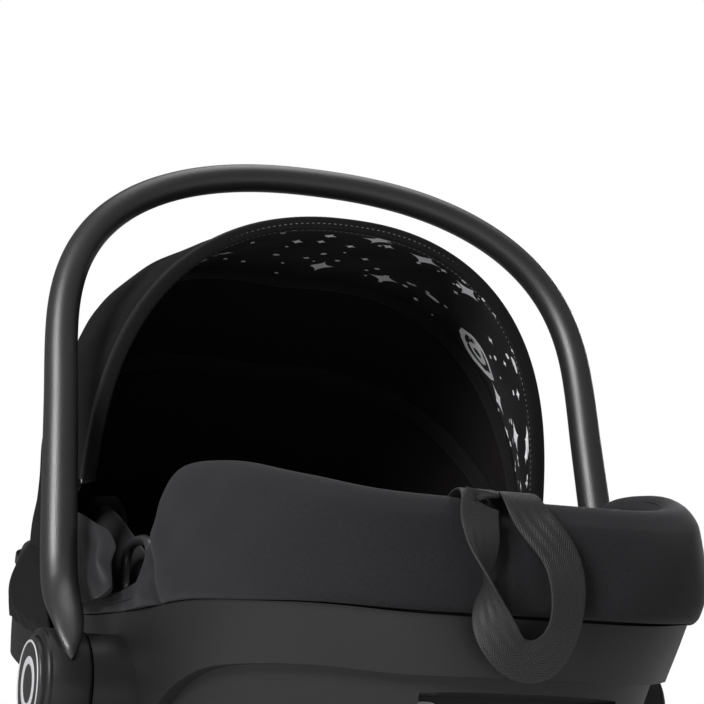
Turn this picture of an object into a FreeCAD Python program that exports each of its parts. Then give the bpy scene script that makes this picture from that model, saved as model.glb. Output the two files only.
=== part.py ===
# Rear-facing infant car seat: a deep reclined bucket with a swinging carry handle,
# a folding three-bow canopy, a padded cover, a harness and a rocking lower shell.
#
# Frame: origin on the floor under the middle of the seat, +Z up, +Y towards the head
# end, -Y towards the foot end, +X to the child's right hand side. Millimetres.
import FreeCAD, Part
import math
import os
from FreeCAD import Vector, Placement, Rotation

os.makedirs("parts", exist_ok=True)

# ---------------------------------------------------------------- driving dimensions
HUB_Y = -37.0            # carry-handle pivot axis, along X
HUB_Z = 205.0
CANOPY_Y = HUB_Y + 81.0  # canopy pivot axis, along X
CANOPY_Z = HUB_Z + 96.0

PAD_HEIGHT = 2.0         # rubber pads below the rocker rails
HULL_TOP = 400.0         # the reference hull runs on above the rim and is trimmed to it

# Reference hull: rings at rising heights, as (z, foot end y, head end y, half width
# towards the foot, half width towards the head, superellipse exponent at the foot end).
HULL_RINGS = [
    (PAD_HEIGHT, -118, 117, 92, 95, 3.2),
    (12, -162, 162, 107, 113, 3.0),
    (40, -214, 210, 120, 135, 2.8),
    (85, -257, 250, 132, 155, 2.7),
    (130, -287, 278, 142, 169, 2.6),
    (188, -314, 302, 150, 180, 2.7),
    (250, -318, 313, 157, 185, 4.0),
    (320, -302, 307, 156, 184, 4.1),
    (HULL_TOP, -277, 283, 153, 179, 4.1),
]
HEAD_SQUARENESS = 5.0    # exponent of the plan outline at the head end

# Layers of the wall, as distances in from the reference hull.
TOUCH = 0.15             # gap between curved faces that lie on one another
COVER_OUT = -1.8         # the swinging handle passes just outside
BAND_IN = 3.5
LOWER_OUT = 8.0
LOWER_IN = 11.5
TUB_OUT = 12.0
TUB_IN = 15.5
COVER_IN = 19.5
CUSHION_OUT = 20.0
LINING_DEPTH = 70.0      # the cover laps this far down inside the tub
TUB_BELOW_RIM = 8.3

# Side-view lines, as (y, z), from the foot end to the head end.
RIM_LINE = [(-400, 289), (-350, 289), (-314, 290), (-291, 300), (-267, 309), (-238, 319),
            (-199, 328), (-165, 333), (-138, 331), (-120, 318), (-104, 294), (-88, 277),
            (-64, 270), (-34, 269), (0, 272), (44, 280), (100, 303), (150, 320), (200, 334),
            (250, 348), (300, 360), (400, 380)]
SHELL_LINE = [(-400, 219), (-350, 219), (-317, 220), (-296, 225), (-243, 234), (-158, 245),
              (-103, 248), (-51, 252), (0, 257), (60, 268), (120, 290), (200, 315),
              (300, 335), (400, 345)]
BAND_LINE = [(-400, 186), (-350, 186), (-314, 187), (-297, 189), (-269, 195), (-241, 199),
             (-210, 202), (-178, 204), (-155, 203), (-119, 196), (-88, 183), (-62, 165),
             (-37, 157), (-5, 160), (40, 178), (110, 215), (200, 250), (300, 275), (400, 285)]

# Seat line in side view: the surface the child rests on.
HIP = Vector(0, -47, 112)
KNEE = Vector(0, -277, 232)
HEAD = Vector(0, 256, 330)
CUSHION_THICK = 20.0
FOAM_THICK = 13.8
PAN_THICK = 3.0

# Carry handle
HANDLE_HALF_WIDTH = 205.5
HANDLE_LEG_INSET = 0.0215    # the legs close in by this much per millimetre of height
HANDLE_STRAIGHT = 223.0      # height at which the legs turn into the arch
HANDLE_HEIGHT = 395.9
HANDLE_LEAN = 9.6            # degrees back from upright, at rest
ARCH_SIDE = 2.27             # superellipse exponents of the arch
ARCH_CROWN = 2.93
TUBE_R_LEG = 12.3
TUBE_R_CROWN = 10.3

# Hub stack, as distances out from the centre plane
HUB_GAP_X = 190.0
HOUSING_IN_X = 190.5
HOUSING_OUT_X = 221.0
PIN_R = 8.0
PIN_IN_X = 158.0
PIN_OUT_X = 206.0
RUNNING_FIT = 0.06
BUTTON_R = 30.0
BUTTON_TRAVEL = 4.0
BUTTON_IN_X = 215.5
BUTTON_OUT_X = 224.5

# Canopy: one bow outline, a superellipse, and levels in from it
BOW_HALF_WIDTH = 176.2
BOW_REACH = 252.8
BOW_SIDE = 2.23
BOW_CROWN = 3.28
FRONT_BOW_ANGLE = -16.8      # degrees back from upright
MIDDLE_BOW_ANGLE = 14.2
REAR_BOW_ANGLE = 39.0
FIXED_BOW_ANGLE = 74.5
FIXED_EDGE_ANGLE = 76.0
PANEL_THICK = 1.2
BOW_THICK = 2.0
BOW_WIDTH = 8.0
EYE_R = 11.0
CANOPY_PIN_R = 4.0


# ---------------------------------------------------------------- helpers
def save(name, shape):
    shape.exportStep("parts/" + name + ".step")


def signed_power(value, exponent):
    return math.copysign(abs(value) ** exponent, value)


def mirrored(shape):
    return shape.mirror(Vector(0, 0, 0), Vector(1, 0, 0))


def save_pair(name, right_shape):
    save(name + "_right", right_shape)
    save(name + "_left", mirrored(right_shape))


def cylinder_x(x0, x1, y, z, radius):
    return Part.makeCylinder(radius, x1 - x0, Vector(x0, y, z), Vector(1, 0, 0))


def block(x0, x1, y0, y1, z0, z1, rounding=0.0):
    shape = Part.makeBox(x1 - x0, y1 - y0, z1 - z0, Vector(x0, y0, z0))
    return shape.makeFillet(rounding, shape.Edges) if rounding else shape


def hull(inset):
    """The reference hull as a solid, with every wall moved in by inset."""
    rings = []
    for z, foot, head, wide_foot, wide_head, square_foot in HULL_RINGS:
        middle = (foot + head) / 2
        half_length = (head - foot) / 2 - inset
        height = z + inset * max(0.0, 1 - z / 130.0)
        points = []
        steps = 44
        for i in range(steps):
            turn = 2 * math.pi * i / steps
            square = HEAD_SQUARENESS if math.cos(turn) > 0 else square_foot
            along = signed_power(math.cos(turn), 2 / square)
            share = (along + 1) / 2
            blend = share * share * (3 - 2 * share)
            half_width = wide_foot + (wide_head - wide_foot) * blend - inset
            across = half_width * signed_power(math.sin(turn), 2 / square)
            points.append(Vector(across, middle + half_length * along, height))
        curve = Part.BSplineCurve()
        curve.interpolate(Points=points, PeriodicFlag=True)
        rings.append(Part.Wire([curve.toShape()]))
    return Part.makeLoft(rings, True, False)


def half_space(line, shift, above):
    """Everything above or below a smooth side-view line that is moved up by shift."""
    points = [Vector(-400, y, z + shift) for y, z in line]
    curve = Part.BSplineCurve()
    curve.interpolate(Points=points)
    far = 700 if above else -300
    start = Vector(-400, line[0][0], far)
    end = Vector(-400, line[-1][0], far)
    edges = [curve.toShape(), Part.makeLine(points[-1], end),
             Part.makeLine(end, start), Part.makeLine(start, points[0])]
    return Part.Face(Part.Wire(edges)).extrude(Vector(800, 0, 0))


def prism_x(points, x0, x1):
    """A closed side-view outline of (y, z) points, extruded along X."""
    corners = [Vector(x0, p.y, p.z) for p in points]
    return Part.Face(Part.makePolygon(corners + corners[:1])).extrude(Vector(x1 - x0, 0, 0))


def seat_axes(start, end):
    along = (end - start).normalize()
    up = Vector(0, -along.z, along.y)
    if up.z < 0:
        up = up * -1
    return along, up


BACK_ALONG, BACK_UP = seat_axes(HIP, HEAD)
SEAT_ALONG, SEAT_UP = seat_axes(HIP, KNEE)


def on_back(s, lift):
    return HIP + BACK_ALONG * s + BACK_UP * lift


def on_seat(s, lift):
    return HIP + SEAT_ALONG * s + SEAT_UP * lift


def back_block(s0, s1, lift0, lift1, x0, x1):
    corners = [on_back(s0, lift0), on_back(s1, lift0), on_back(s1, lift1), on_back(s0, lift1)]
    return prism_x(corners, x0, x1)


def seat_block(s0, s1, lift0, lift1, x0, x1):
    corners = [on_seat(s0, lift0), on_seat(s1, lift0), on_seat(s1, lift1), on_seat(s0, lift1)]
    return prism_x(corners, x0, x1)


def seat_layer(depth0, depth1, reach):
    """A layer under the seat line, from depth0 to depth1, running reach past both ends."""
    knee_s = (KNEE - HIP).Length + reach
    head_s = (HEAD - HIP).Length + reach

    def corner(depth):
        # where the two offset lines meet
        opening = math.acos(BACK_ALONG.dot(SEAT_ALONG)) / 2
        middle = (BACK_ALONG + SEAT_ALONG).normalize()
        return HIP - middle * (depth / math.sin(opening))
    outline = [on_seat(knee_s, -depth0), corner(depth0), on_back(head_s, -depth0),
               on_back(head_s, -depth1), corner(depth1), on_seat(knee_s, -depth1)]
    return prism_x(outline, -300, 300)


# ---------------------------------------------------------------- shells and tub
hull_cover = hull(COVER_OUT)
hull_face = hull(0)
hull_band = hull(BAND_IN)
hull_lower = hull(LOWER_OUT)
hull_lower_in = hull(LOWER_IN)
hull_tub = hull(TUB_OUT)
hull_tub_in = hull(TUB_IN)
hull_lining = hull(COVER_IN)
hull_cushion = hull(CUSHION_OUT)

# axle holes are cut through every wall that the pivot pins cross
AXLE_HOLES = Part.makeCompound([
    cylinder_x(PIN_IN_X, 260, HUB_Y, HUB_Z, PIN_R),
    cylinder_x(-260, -PIN_IN_X, HUB_Y, HUB_Z, PIN_R),
])

# Upper shell: the visible plastic band, with a lip that turns in to the lower shell.
LIP = 3.0
band_top = half_space(SHELL_LINE, 0, False)
band_bottom = half_space(BAND_LINE, 0, True)
band_skin = hull_face.cut(hull_band).common(band_top).common(band_bottom)
band_lip = hull_face.cut(hull_lower).common(half_space(BAND_LINE, LIP, False)).common(band_bottom)
upper_shell = band_skin.fuse(band_lip).removeSplitter().cut(AXLE_HOLES)
save("upper_shell", upper_shell)

# Lower shell: hollow, with a toe recess between the two rocker legs and two bottom pockets.
RECESS_HALF = 62.0
RECESS_BACK_Y = -273.0
RECESS_TOP = 180.0
WALL = LOWER_IN - LOWER_OUT
BAR_Y = 150.0
BAR_Z = 32.0
BAR_R = 5.0
POCKET_HALF = 32.0
POCKET_LENGTH = 22.0
POCKET_TOP = 48.0


def lower_recesses(grow):
    toe = block(-RECESS_HALF - grow, RECESS_HALF + grow, -400, RECESS_BACK_Y + grow,
                100 - grow, RECESS_TOP + grow)
    pockets = [block(-POCKET_HALF - grow, POCKET_HALF + grow, y - POCKET_LENGTH - grow,
                     y + POCKET_LENGTH + grow, -20, POCKET_TOP + grow) for y in (-BAR_Y, BAR_Y)]
    return toe.fuse(pockets)


lock_bar = cylinder_x(-POCKET_HALF - 8, POCKET_HALF + 8, -BAR_Y, BAR_Z, BAR_R)
lock_bar_rear = cylinder_x(-POCKET_HALF - 8, POCKET_HALF + 8, BAR_Y, BAR_Z, BAR_R)
save("lock_bar_front", lock_bar)
save("lock_bar_rear", lock_bar_rear)

LAP = 14.0               # how far the lower shell reaches up behind the band
outside = hull_lower.cut(lower_recesses(0))
inside = hull_lower_in.cut(lower_recesses(WALL))
lower_shell = outside.cut(inside).common(half_space(BAND_LINE, LAP, False))
lower_shell = lower_shell.cut(AXLE_HOLES).cut(lock_bar).cut(lock_bar_rear)
save("lower_shell", lower_shell)

# Rocker rails: ridges on the underside, standing on rubber pads. They sit a hair clear of the
# curved wall above them.
RAIL_IN_X = 64.0
RAIL_OUT_X = 84.0
RAIL_TOP = 120.0
ridge = hull_face.cut(hull(LOWER_OUT - TOUCH))
save_pair("rocker_rail", ridge.common(block(RAIL_IN_X, RAIL_OUT_X, -300, 300, -5, RAIL_TOP)))
for end, y in (("front", -48), ("rear", 70)):
    save_pair("rocker_pad_" + end, block(RAIL_IN_X + 2, RAIL_OUT_X - 4, y - 14, y + 14, 0, PAD_HEIGHT))

# Seat tub: the moulded bucket, with the pan that carries the foam.
tub_wall = hull_tub.cut(hull_tub_in).common(half_space(RIM_LINE, -TUB_BELOW_RIM, False))
pan_depth = CUSHION_THICK + FOAM_THICK
below_pan = seat_layer(pan_depth + PAN_THICK, 600, 400)
pan = seat_layer(pan_depth, pan_depth + PAN_THICK, 400).common(hull_tub_in)
seat_tub = tub_wall.cut(below_pan).fuse(pan)

# Brackets inside the tub that carry the canopy pivots above the rim.
BRACKET_IN_X = 150.0
BRACKET_OUT_X = 162.6
bracket = block(BRACKET_IN_X, BRACKET_OUT_X, CANOPY_Y - 15, CANOPY_Y + 15, 262, CANOPY_Z)
bracket = bracket.fuse(cylinder_x(BRACKET_IN_X, BRACKET_OUT_X, CANOPY_Y, CANOPY_Z, 15))
canopy_pin_hole = cylinder_x(BRACKET_IN_X - 1, BRACKET_OUT_X + 1, CANOPY_Y, CANOPY_Z, CANOPY_PIN_R)
bracket = bracket.cut(canopy_pin_hole)
seat_tub = seat_tub.fuse([bracket, mirrored(bracket)]).removeSplitter()
save("seat_tub", seat_tub)

# Cover: a padded fabric channel over the tub's rim, all the way round.
cover_outer = hull_cover.cut(hull_tub).common(half_space(SHELL_LINE, 0.3, True))
cover_lining = hull_tub_in.cut(hull_lining).common(half_space(RIM_LINE, -LINING_DEPTH, True))
cover_crest = hull_tub.cut(hull_tub_in).common(half_space(RIM_LINE, -TUB_BELOW_RIM, True))
seat_cover = cover_outer.fuse([cover_lining, cover_crest])
seat_cover = seat_cover.common(half_space(RIM_LINE, 0, False))
pivot_relief = cylinder_x(BRACKET_IN_X, 200, CANOPY_Y, CANOPY_Z, 19)
pivot_relief = pivot_relief.fuse(block(BRACKET_IN_X, BRACKET_OUT_X + 0.4, CANOPY_Y - 16,
                                       CANOPY_Y + 16, 255, CANOPY_Z))
seat_cover = seat_cover.cut([pivot_relief, mirrored(pivot_relief), seat_tub])
save("seat_cover", max(seat_cover.Solids, key=lambda solid: solid.Volume))

# Foam liner and the two cushions that lie on it.
foam_liner = seat_layer(CUSHION_THICK + 0.2, pan_depth, 30).common(hull_cushion)
save("foam_liner", foam_liner)
back_length = (HEAD - HIP).Length
seat_length = (KNEE - HIP).Length
back_cushion = back_block(10, back_length, -CUSHION_THICK, 0, -300, 300).common(hull_cushion)
seat_cushion = seat_block(10, seat_length, -CUSHION_THICK, 0, -300, 300).common(hull_cushion)
save("back_cushion", back_cushion)
save("seat_cushion", seat_cushion)

# ---------------------------------------------------------------- hubs and handle
BOSS_R = 34.0
GEAR_TEETH = 12
GEAR_ROOT = 18.0
GEAR_TIP = 21.0
GEAR_DEPTH = 7.0


def gear_blank(grow):
    points = []
    for i in range(4 * GEAR_TEETH):
        turn = 2 * math.pi * (i + 0.5) / (4 * GEAR_TEETH)
        radius = (GEAR_TIP if i % 4 < 2 else GEAR_ROOT) + grow
        points.append(Vector(0, HUB_Y + radius * math.cos(turn), HUB_Z + radius * math.sin(turn)))
    return prism_x(points, HUB_GAP_X - GEAR_DEPTH, HUB_GAP_X)


axle = cylinder_x(PIN_IN_X, PIN_OUT_X, HUB_Y, HUB_Z, PIN_R)
boss = cylinder_x(150, HUB_GAP_X, HUB_Y, HUB_Z, BOSS_R).cut([hull_face, axle, gear_blank(0)])
save_pair("hub_boss", boss)
save_pair("lock_gear", gear_blank(0).cut(axle))
save_pair("pivot_pin", axle)

# Handle tube: round sections along the legs and the arch, thinning towards the crown.
lean = Rotation(Vector(1, 0, 0), -HANDLE_LEAN)


def lean_point(x, height):
    return Vector(0, HUB_Y, HUB_Z) + lean.multVec(Vector(x, 0, height))


def handle_path():
    arch_half = HANDLE_HALF_WIDTH - HANDLE_LEG_INSET * HANDLE_STRAIGHT
    path = []
    for height in (34.0, 80.0, 130.0, 180.0):
        path.append((HANDLE_HALF_WIDTH - HANDLE_LEG_INSET * height, height))
    for i in range(0, 13):
        turn = math.pi / 2 * i / 12
        x = arch_half * signed_power(math.cos(turn), 2 / ARCH_SIDE)
        rise = (HANDLE_HEIGHT - HANDLE_STRAIGHT) * signed_power(math.sin(turn), 2 / ARCH_CROWN)
        if i % 2 == 0 or i in (1, 3):
            path.append((x, HANDLE_STRAIGHT + rise))
    return path + [(-x, height) for x, height in path[-2::-1]]


path = handle_path()
sections = []
for i, (x, height) in enumerate(path):
    before = path[max(i - 1, 0)]
    after = path[min(i + 1, len(path) - 1)]
    tangent = lean.multVec(Vector(after[0] - before[0], 0, after[1] - before[1]))
    share = min(1.0, max(0.0, (height - 120) / (HANDLE_HEIGHT - 120)))
    radius = TUBE_R_LEG + (TUBE_R_CROWN - TUBE_R_LEG) * share
    sections.append(Part.Wire([Part.makeCircle(radius, lean_point(x, height), tangent)]))
handle_tube = Part.makeLoft(sections, True, False)

# Hub housing: a round hub that draws out into the leg.
HOUSING_R = 36.0
NECK_HEIGHT = 58.0
NECK_HALF = 12.0
tangent_turn = math.acos((HOUSING_R - NECK_HALF) / NECK_HEIGHT)


def housing_outline():
    side_y = HOUSING_R * math.sin(tangent_turn)
    side_z = HOUSING_R * math.cos(tangent_turn)
    tip_y = NECK_HALF * math.sin(tangent_turn)
    tip_z = NECK_HEIGHT + NECK_HALF * math.cos(tangent_turn)
    low, tip = Vector(0, 0, -HOUSING_R), Vector(0, 0, NECK_HEIGHT + NECK_HALF)
    right_low, right_high = Vector(0, side_y, side_z), Vector(0, tip_y, tip_z)
    left_low, left_high = Vector(0, -side_y, side_z), Vector(0, -tip_y, tip_z)
    edges = [Part.Arc(right_low, low, left_low).toShape(), Part.makeLine(left_low, left_high),
             Part.Arc(left_high, tip, right_high).toShape(), Part.makeLine(right_high, right_low)]
    return Part.Wire(edges)


housing = Part.Face(housing_outline()).extrude(Vector(HOUSING_OUT_X - HOUSING_IN_X, 0, 0))
housing = housing.makeFillet(3.0, [e for e in housing.Edges if e.BoundBox.XLength < 1e-6])
housing.Placement = Placement(Vector(HOUSING_IN_X, HUB_Y, HUB_Z), lean)
bore = cylinder_x(HOUSING_IN_X - 1, 212, HUB_Y, HUB_Z, PIN_R + RUNNING_FIT)
button_well = cylinder_x(211, 230, HUB_Y, HUB_Z, BUTTON_R + 0.4)
housing = housing.cut([bore, button_well])
save_pair("handle_hub", housing)
save("handle_tube", handle_tube.cut([housing, mirrored(housing)]).cut(
    [bore, button_well, mirrored(bore), mirrored(button_well)]))

button = cylinder_x(BUTTON_IN_X, BUTTON_OUT_X, HUB_Y, HUB_Z, BUTTON_R)
button = button.makeFillet(2.0, [e for e in button.Edges if e.BoundBox.XMin > BUTTON_OUT_X - 0.1])
save_pair("handle_button", button)
spring = cylinder_x(PIN_OUT_X + 0.4, 211, HUB_Y, HUB_Z, PIN_R + RUNNING_FIT)
spring = spring.cut(cylinder_x(PIN_OUT_X, 212, HUB_Y, HUB_Z, 6.2))
save_pair("button_spring", spring)

# ---------------------------------------------------------------- canopy
pivot = Vector(0, CANOPY_Y, CANOPY_Z)


def bow_curve(level):
    """Half-plane outline (x, reach) of a bow that lies level in from the outer fabric."""
    half_width = BOW_HALF_WIDTH - level
    reach = BOW_REACH - level
    points = []
    steps = 36
    for i in range(steps + 1):
        turn = math.pi * (i / steps - 0.5)
        x = half_width * signed_power(math.sin(turn), 2 / BOW_SIDE)
        points.append(Vector(x, 0, reach * signed_power(math.cos(turn), 2 / BOW_CROWN)))
    curve = Part.BSplineCurve()
    curve.interpolate(Points=points)
    return curve


def bow_face(level, thickness):
    outer = bow_curve(level).toShape()
    inner = bow_curve(level + thickness).toShape()
    ends = [Part.makeLine(outer.valueAt(outer.FirstParameter), inner.valueAt(inner.FirstParameter)),
            Part.makeLine(outer.valueAt(outer.LastParameter), inner.valueAt(inner.LastParameter))]
    return Part.Face(Part.Wire([outer, ends[1], inner, ends[0]]))


def tilted(shape, degrees_back):
    placed = shape.copy()
    placed.Placement = Placement(pivot, Rotation(Vector(1, 0, 0), -degrees_back))
    return placed


def bow(level, degrees_back):
    """A flat strip bent to the bow outline, with an eye round each canopy pin."""
    strip = bow_face(level, BOW_THICK).extrude(Vector(0, BOW_WIDTH, 0))
    strip.translate(Vector(0, -BOW_WIDTH / 2, 0))
    outer_x = BOW_HALF_WIDTH - level
    eye = cylinder_x(outer_x - BOW_THICK, outer_x, 0, 0, EYE_R)
    hole = cylinder_x(-200, 200, 0, 0, CANOPY_PIN_R + RUNNING_FIT)
    return tilted(strip.fuse([eye, mirrored(eye)]).cut(hole), degrees_back)


def panel(level, front_angle, rear_angle):
    """Fabric swept between two bow angles, cut clear of the pivots."""
    face = bow_face(level, PANEL_THICK)
    swept = face.revolve(Vector(0, 0, 0), Vector(1, 0, 0), -(rear_angle - front_angle))
    swept = swept.cut(cylinder_x(-200, 200, 0, 0, 24.0))
    return tilted(swept, front_angle)


LEVEL_GAP = 0.4
front_panel_level = 0.0
front_bow_level = front_panel_level + PANEL_THICK + LEVEL_GAP
middle_bow_level = front_bow_level + BOW_THICK + LEVEL_GAP
middle_panel_level = middle_bow_level + BOW_THICK + LEVEL_GAP
rear_bow_level = middle_panel_level + PANEL_THICK + TOUCH
rear_panel_level = rear_bow_level + BOW_THICK + LEVEL_GAP
fixed_bow_level = rear_panel_level + PANEL_THICK + TOUCH

front_panel = panel(front_panel_level, FRONT_BOW_ANGLE + 1.5, MIDDLE_BOW_ANGLE)
middle_panel = panel(middle_panel_level, MIDDLE_BOW_ANGLE + 1.5, REAR_BOW_ANGLE)
rear_panel = panel(rear_panel_level, REAR_BOW_ANGLE + 1.5, FIXED_EDGE_ANGLE)
save("canopy_front_bow", bow(front_bow_level, FRONT_BOW_ANGLE))
save("canopy_middle_bow", bow(middle_bow_level, MIDDLE_BOW_ANGLE))
save("canopy_rear_bow", bow(rear_bow_level, REAR_BOW_ANGLE))
save("canopy_fixed_bow", bow(fixed_bow_level, FIXED_BOW_ANGLE))
save("canopy_front_panel", front_panel)
save("canopy_middle_panel", middle_panel)
save("canopy_rear_panel", rear_panel)

CAP_R = 12.0
cap_x = BOW_HALF_WIDTH - front_bow_level + 0.3
canopy_pin = cylinder_x(BRACKET_IN_X, cap_x, CANOPY_Y, CANOPY_Z, CANOPY_PIN_R)
canopy_pin = canopy_pin.fuse(cylinder_x(cap_x, cap_x + 3, CANOPY_Y, CANOPY_Z, CAP_R))
save_pair("canopy_pin", canopy_pin.removeSplitter())

# ---------------------------------------------------------------- head support
WING_IN_X = 118.0
WING_OUT_X = 140.0
HEADREST_LOW = 238.0
HEADREST_HIGH = 335.0
HEADREST_LIFT = 2.4       # clears the shoulder straps that run under it
wing_side = [on_back(HEADREST_LOW, HEADREST_LIFT), on_back(HEADREST_LOW + 4, 70), on_back(255, 98),
             on_back(272, 107), on_back(290, 106), on_back(308, 94), on_back(HEADREST_HIGH - 4, 66),
             on_back(HEADREST_HIGH, HEADREST_LIFT)]
wing = prism_x(wing_side, WING_IN_X, WING_OUT_X)
headrest_back = back_block(HEADREST_LOW, HEADREST_HIGH, HEADREST_LIFT, 16, -WING_IN_X, WING_IN_X)
save("headrest_pad", headrest_back.fuse([wing, mirrored(wing)]).removeSplitter())

# ---------------------------------------------------------------- harness
STRAP_IN_X = 27.0
STRAP_OUT_X = 52.0
STRAP_TOP = 212.0
STRAP_LOW = 76.0
save_pair("shoulder_strap", back_block(STRAP_LOW, STRAP_TOP, 0.3, 1.9, STRAP_IN_X, STRAP_OUT_X))
shoulder_pad = back_block(96, 192, 2.2, 13, STRAP_IN_X - 5, STRAP_OUT_X + 5)
save_pair("shoulder_pad", shoulder_pad.makeFillet(4.0, shoulder_pad.Edges))
save_pair("buckle_tongue", back_block(60, STRAP_LOW, 3.0, 7.0, 8, 44).fuse(
    back_block(STRAP_LOW - 8, STRAP_LOW + 4, 1.9, 7.0, STRAP_IN_X - 2, 44)).removeSplitter())
buckle = back_block(14, 60, 1.5, 19, -24, 24)
buckle = buckle.makeFillet(4.0, buckle.Edges)
button_slot = back_block(26, 48, 10, 20, -9, 9)
buckle = buckle.cut(button_slot)
save("buckle_body", buckle)
save("buckle_button", back_block(26.4, 47.6, 14, 20.5, -8.6, 8.6))
crotch_points = [on_seat(34, 0.4), on_seat(34, 2.4), on_back(14, 12), on_back(14, 9)]
save("crotch_strap", prism_x(crotch_points, -19, 19))

adjuster = seat_block(196, 236, 0.4, 11, -19, 19)
adjuster = adjuster.makeFillet(3.0, adjuster.Edges)
adjuster = adjuster.cut(seat_block(206, 226, 5, 12, -11, 11))
save("adjuster_housing", adjuster)
save("adjuster_button", seat_block(206.4, 225.6, 8.5, 12.5, -10.6, 10.6))

# Front pull strap: a hanging loop of webbing against the front of the cover.
STRAP_FACE_Y = HUB_Y - 285.5
STRAP_THICK = 2.0
WEBBING = 24.0
LOOP_BOTTOM = 222.0
strap_left_x = -50.0
strap_right_x = 2.0
strap_mid_x = (strap_left_x + strap_right_x + WEBBING) / 2
loop_outer = (strap_right_x + WEBBING - strap_left_x) / 2
loop = Part.makeCylinder(loop_outer, STRAP_THICK, Vector(strap_mid_x, STRAP_FACE_Y, LOOP_BOTTOM),
                         Vector(0, -1, 0))
hole = Part.makeCylinder(loop_outer - WEBBING, 10, Vector(strap_mid_x, STRAP_FACE_Y + 4, LOOP_BOTTOM),
                         Vector(0, -1, 0))
lower_half = block(-200, 200, STRAP_FACE_Y - 10, STRAP_FACE_Y + 10, 0, LOOP_BOTTOM)
strands = [block(x, x + WEBBING, STRAP_FACE_Y - STRAP_THICK, STRAP_FACE_Y, LOOP_BOTTOM, 284)
           for x in (strap_left_x, strap_right_x)]
front_strap = loop.cut(hole).common(lower_half).fuse(strands).removeSplitter()
save("front_strap", front_strap.cut([hull_cover, hull_face]))

# ---------------------------------------------------------------- belt guides and lever
GUIDE_X = 158.0
GUIDE_HALF = 3.2         # half thickness of the ring
GUIDE_Y0 = HUB_Y - 54.0
GUIDE_Y1 = HUB_Y + 2.0
GUIDE_Z0 = 255.0
GUIDE_Z1 = 298.0
GUIDE_BAR = 7.0
GUIDE_SLOT_Z = 272.0
guide = block(GUIDE_X - GUIDE_HALF, GUIDE_X + GUIDE_HALF, GUIDE_Y0, GUIDE_Y1, GUIDE_Z0, GUIDE_Z1)
corner_edges = [e for e in guide.Edges if e.BoundBox.XLength > GUIDE_HALF]
guide = guide.makeFillet(14.0, corner_edges)
guide = guide.cut(block(GUIDE_X - 5, GUIDE_X + 5, GUIDE_Y0 + GUIDE_BAR, GUIDE_Y1 - GUIDE_BAR,
                        GUIDE_SLOT_Z, GUIDE_Z1 - GUIDE_BAR))
guide = guide.cut([seat_cover, hull_tub])
save_pair("belt_guide", max(guide.Solids, key=lambda solid: solid.Volume))

LEVER_Z0 = 214.0
LEVER_Z1 = 250.0
lever_y = HULL_RINGS[-3][2] + 2.5
lever = block(-38, 38, lever_y, lever_y + 9, LEVER_Z0, LEVER_Z1)
lever = lever.makeFillet(3.0, [e for e in lever.Edges if e.BoundBox.YMin > lever_y + 1])
ear_gap = 0.4
hinge_hole = cylinder_x(-60, 60, lever_y + 4.5, LEVER_Z1 - 5, 2.0 + RUNNING_FIT)
save("release_lever", lever.cut(hinge_hole))
ears = [block(x, x + 7, lever_y - 8, lever_y + 9, LEVER_Z1 - 12, LEVER_Z1 + 3)
        for x in (-38 - ear_gap - 7, 38 + ear_gap)]
lever_mount = ears[0].fuse(ears[1]).cut(hull_face)
lever_pin = cylinder_x(-45, 45, lever_y + 4.5, LEVER_Z1 - 5, 2.0)
save("lever_mount_left", lever_mount.cut(lever_pin).Solids[0])
save("lever_mount_right", lever_mount.cut(lever_pin).Solids[1])
save("lever_pin", lever_pin)
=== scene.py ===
# %% [markdown]
# # An infant car seat, dressed
#
# The seat is a moulded bucket that is carried by a swinging handle and shaded by a folding
# canopy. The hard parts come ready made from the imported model, the frame. This notebook gives
# them their finishes, and makes what is soft as surfaces worked out with numpy: the padded
# cover over the rim, the canopy's fabric, the cushions, the harness and the pull strap.

# %% Load the frame
import math
import bmesh
import bpy
import numpy as np
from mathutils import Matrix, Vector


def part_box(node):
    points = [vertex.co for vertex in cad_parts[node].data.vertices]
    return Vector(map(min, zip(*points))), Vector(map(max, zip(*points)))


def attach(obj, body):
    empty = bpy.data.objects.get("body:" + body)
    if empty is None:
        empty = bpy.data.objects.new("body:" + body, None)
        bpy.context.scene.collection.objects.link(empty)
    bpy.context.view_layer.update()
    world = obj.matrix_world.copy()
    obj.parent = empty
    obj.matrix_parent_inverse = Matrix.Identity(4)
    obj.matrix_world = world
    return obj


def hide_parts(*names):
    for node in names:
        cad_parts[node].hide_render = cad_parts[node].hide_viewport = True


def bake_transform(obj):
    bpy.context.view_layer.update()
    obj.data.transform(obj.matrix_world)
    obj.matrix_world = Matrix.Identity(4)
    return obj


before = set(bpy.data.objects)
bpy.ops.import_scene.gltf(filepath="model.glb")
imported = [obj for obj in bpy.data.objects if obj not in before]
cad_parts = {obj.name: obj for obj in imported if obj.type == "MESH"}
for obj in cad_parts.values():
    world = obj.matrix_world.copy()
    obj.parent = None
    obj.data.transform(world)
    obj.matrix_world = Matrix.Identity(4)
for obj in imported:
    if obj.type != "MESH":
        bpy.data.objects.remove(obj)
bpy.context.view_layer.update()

# %% [markdown]
# ## Where things are
#
# The handle and the canopy each turn on an axle, whose centre is read from the frame. The
# lines of the pull strap, the side gussets and the bolsters aren't worked out from the frame:
# each is a short list of rounded points in millimetres.

# %% The two axles
MM = 0.001


def middle(node):
    low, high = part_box(node)
    return (np.array(low) + np.array(high)) / 2


HUB = middle("pivot_pin_left")
CANOPY = middle("canopy_pin_left")
print("handle axle", np.round(HUB, 4), "canopy axle", np.round(CANOPY, 4))

# %% [markdown]
# ## The bucket's outline
#
# The shells and the cover share one outline: rings at rising heights, each a superellipse
# that is squarer at the head end, and roundest low down at the foot end. A natural cubic
# spline runs through the rings, and through the side-view lines of the rim and of the shell's
# top edge. The numbers repeat the design's own, so the fabric follows the plastic closely.

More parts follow.
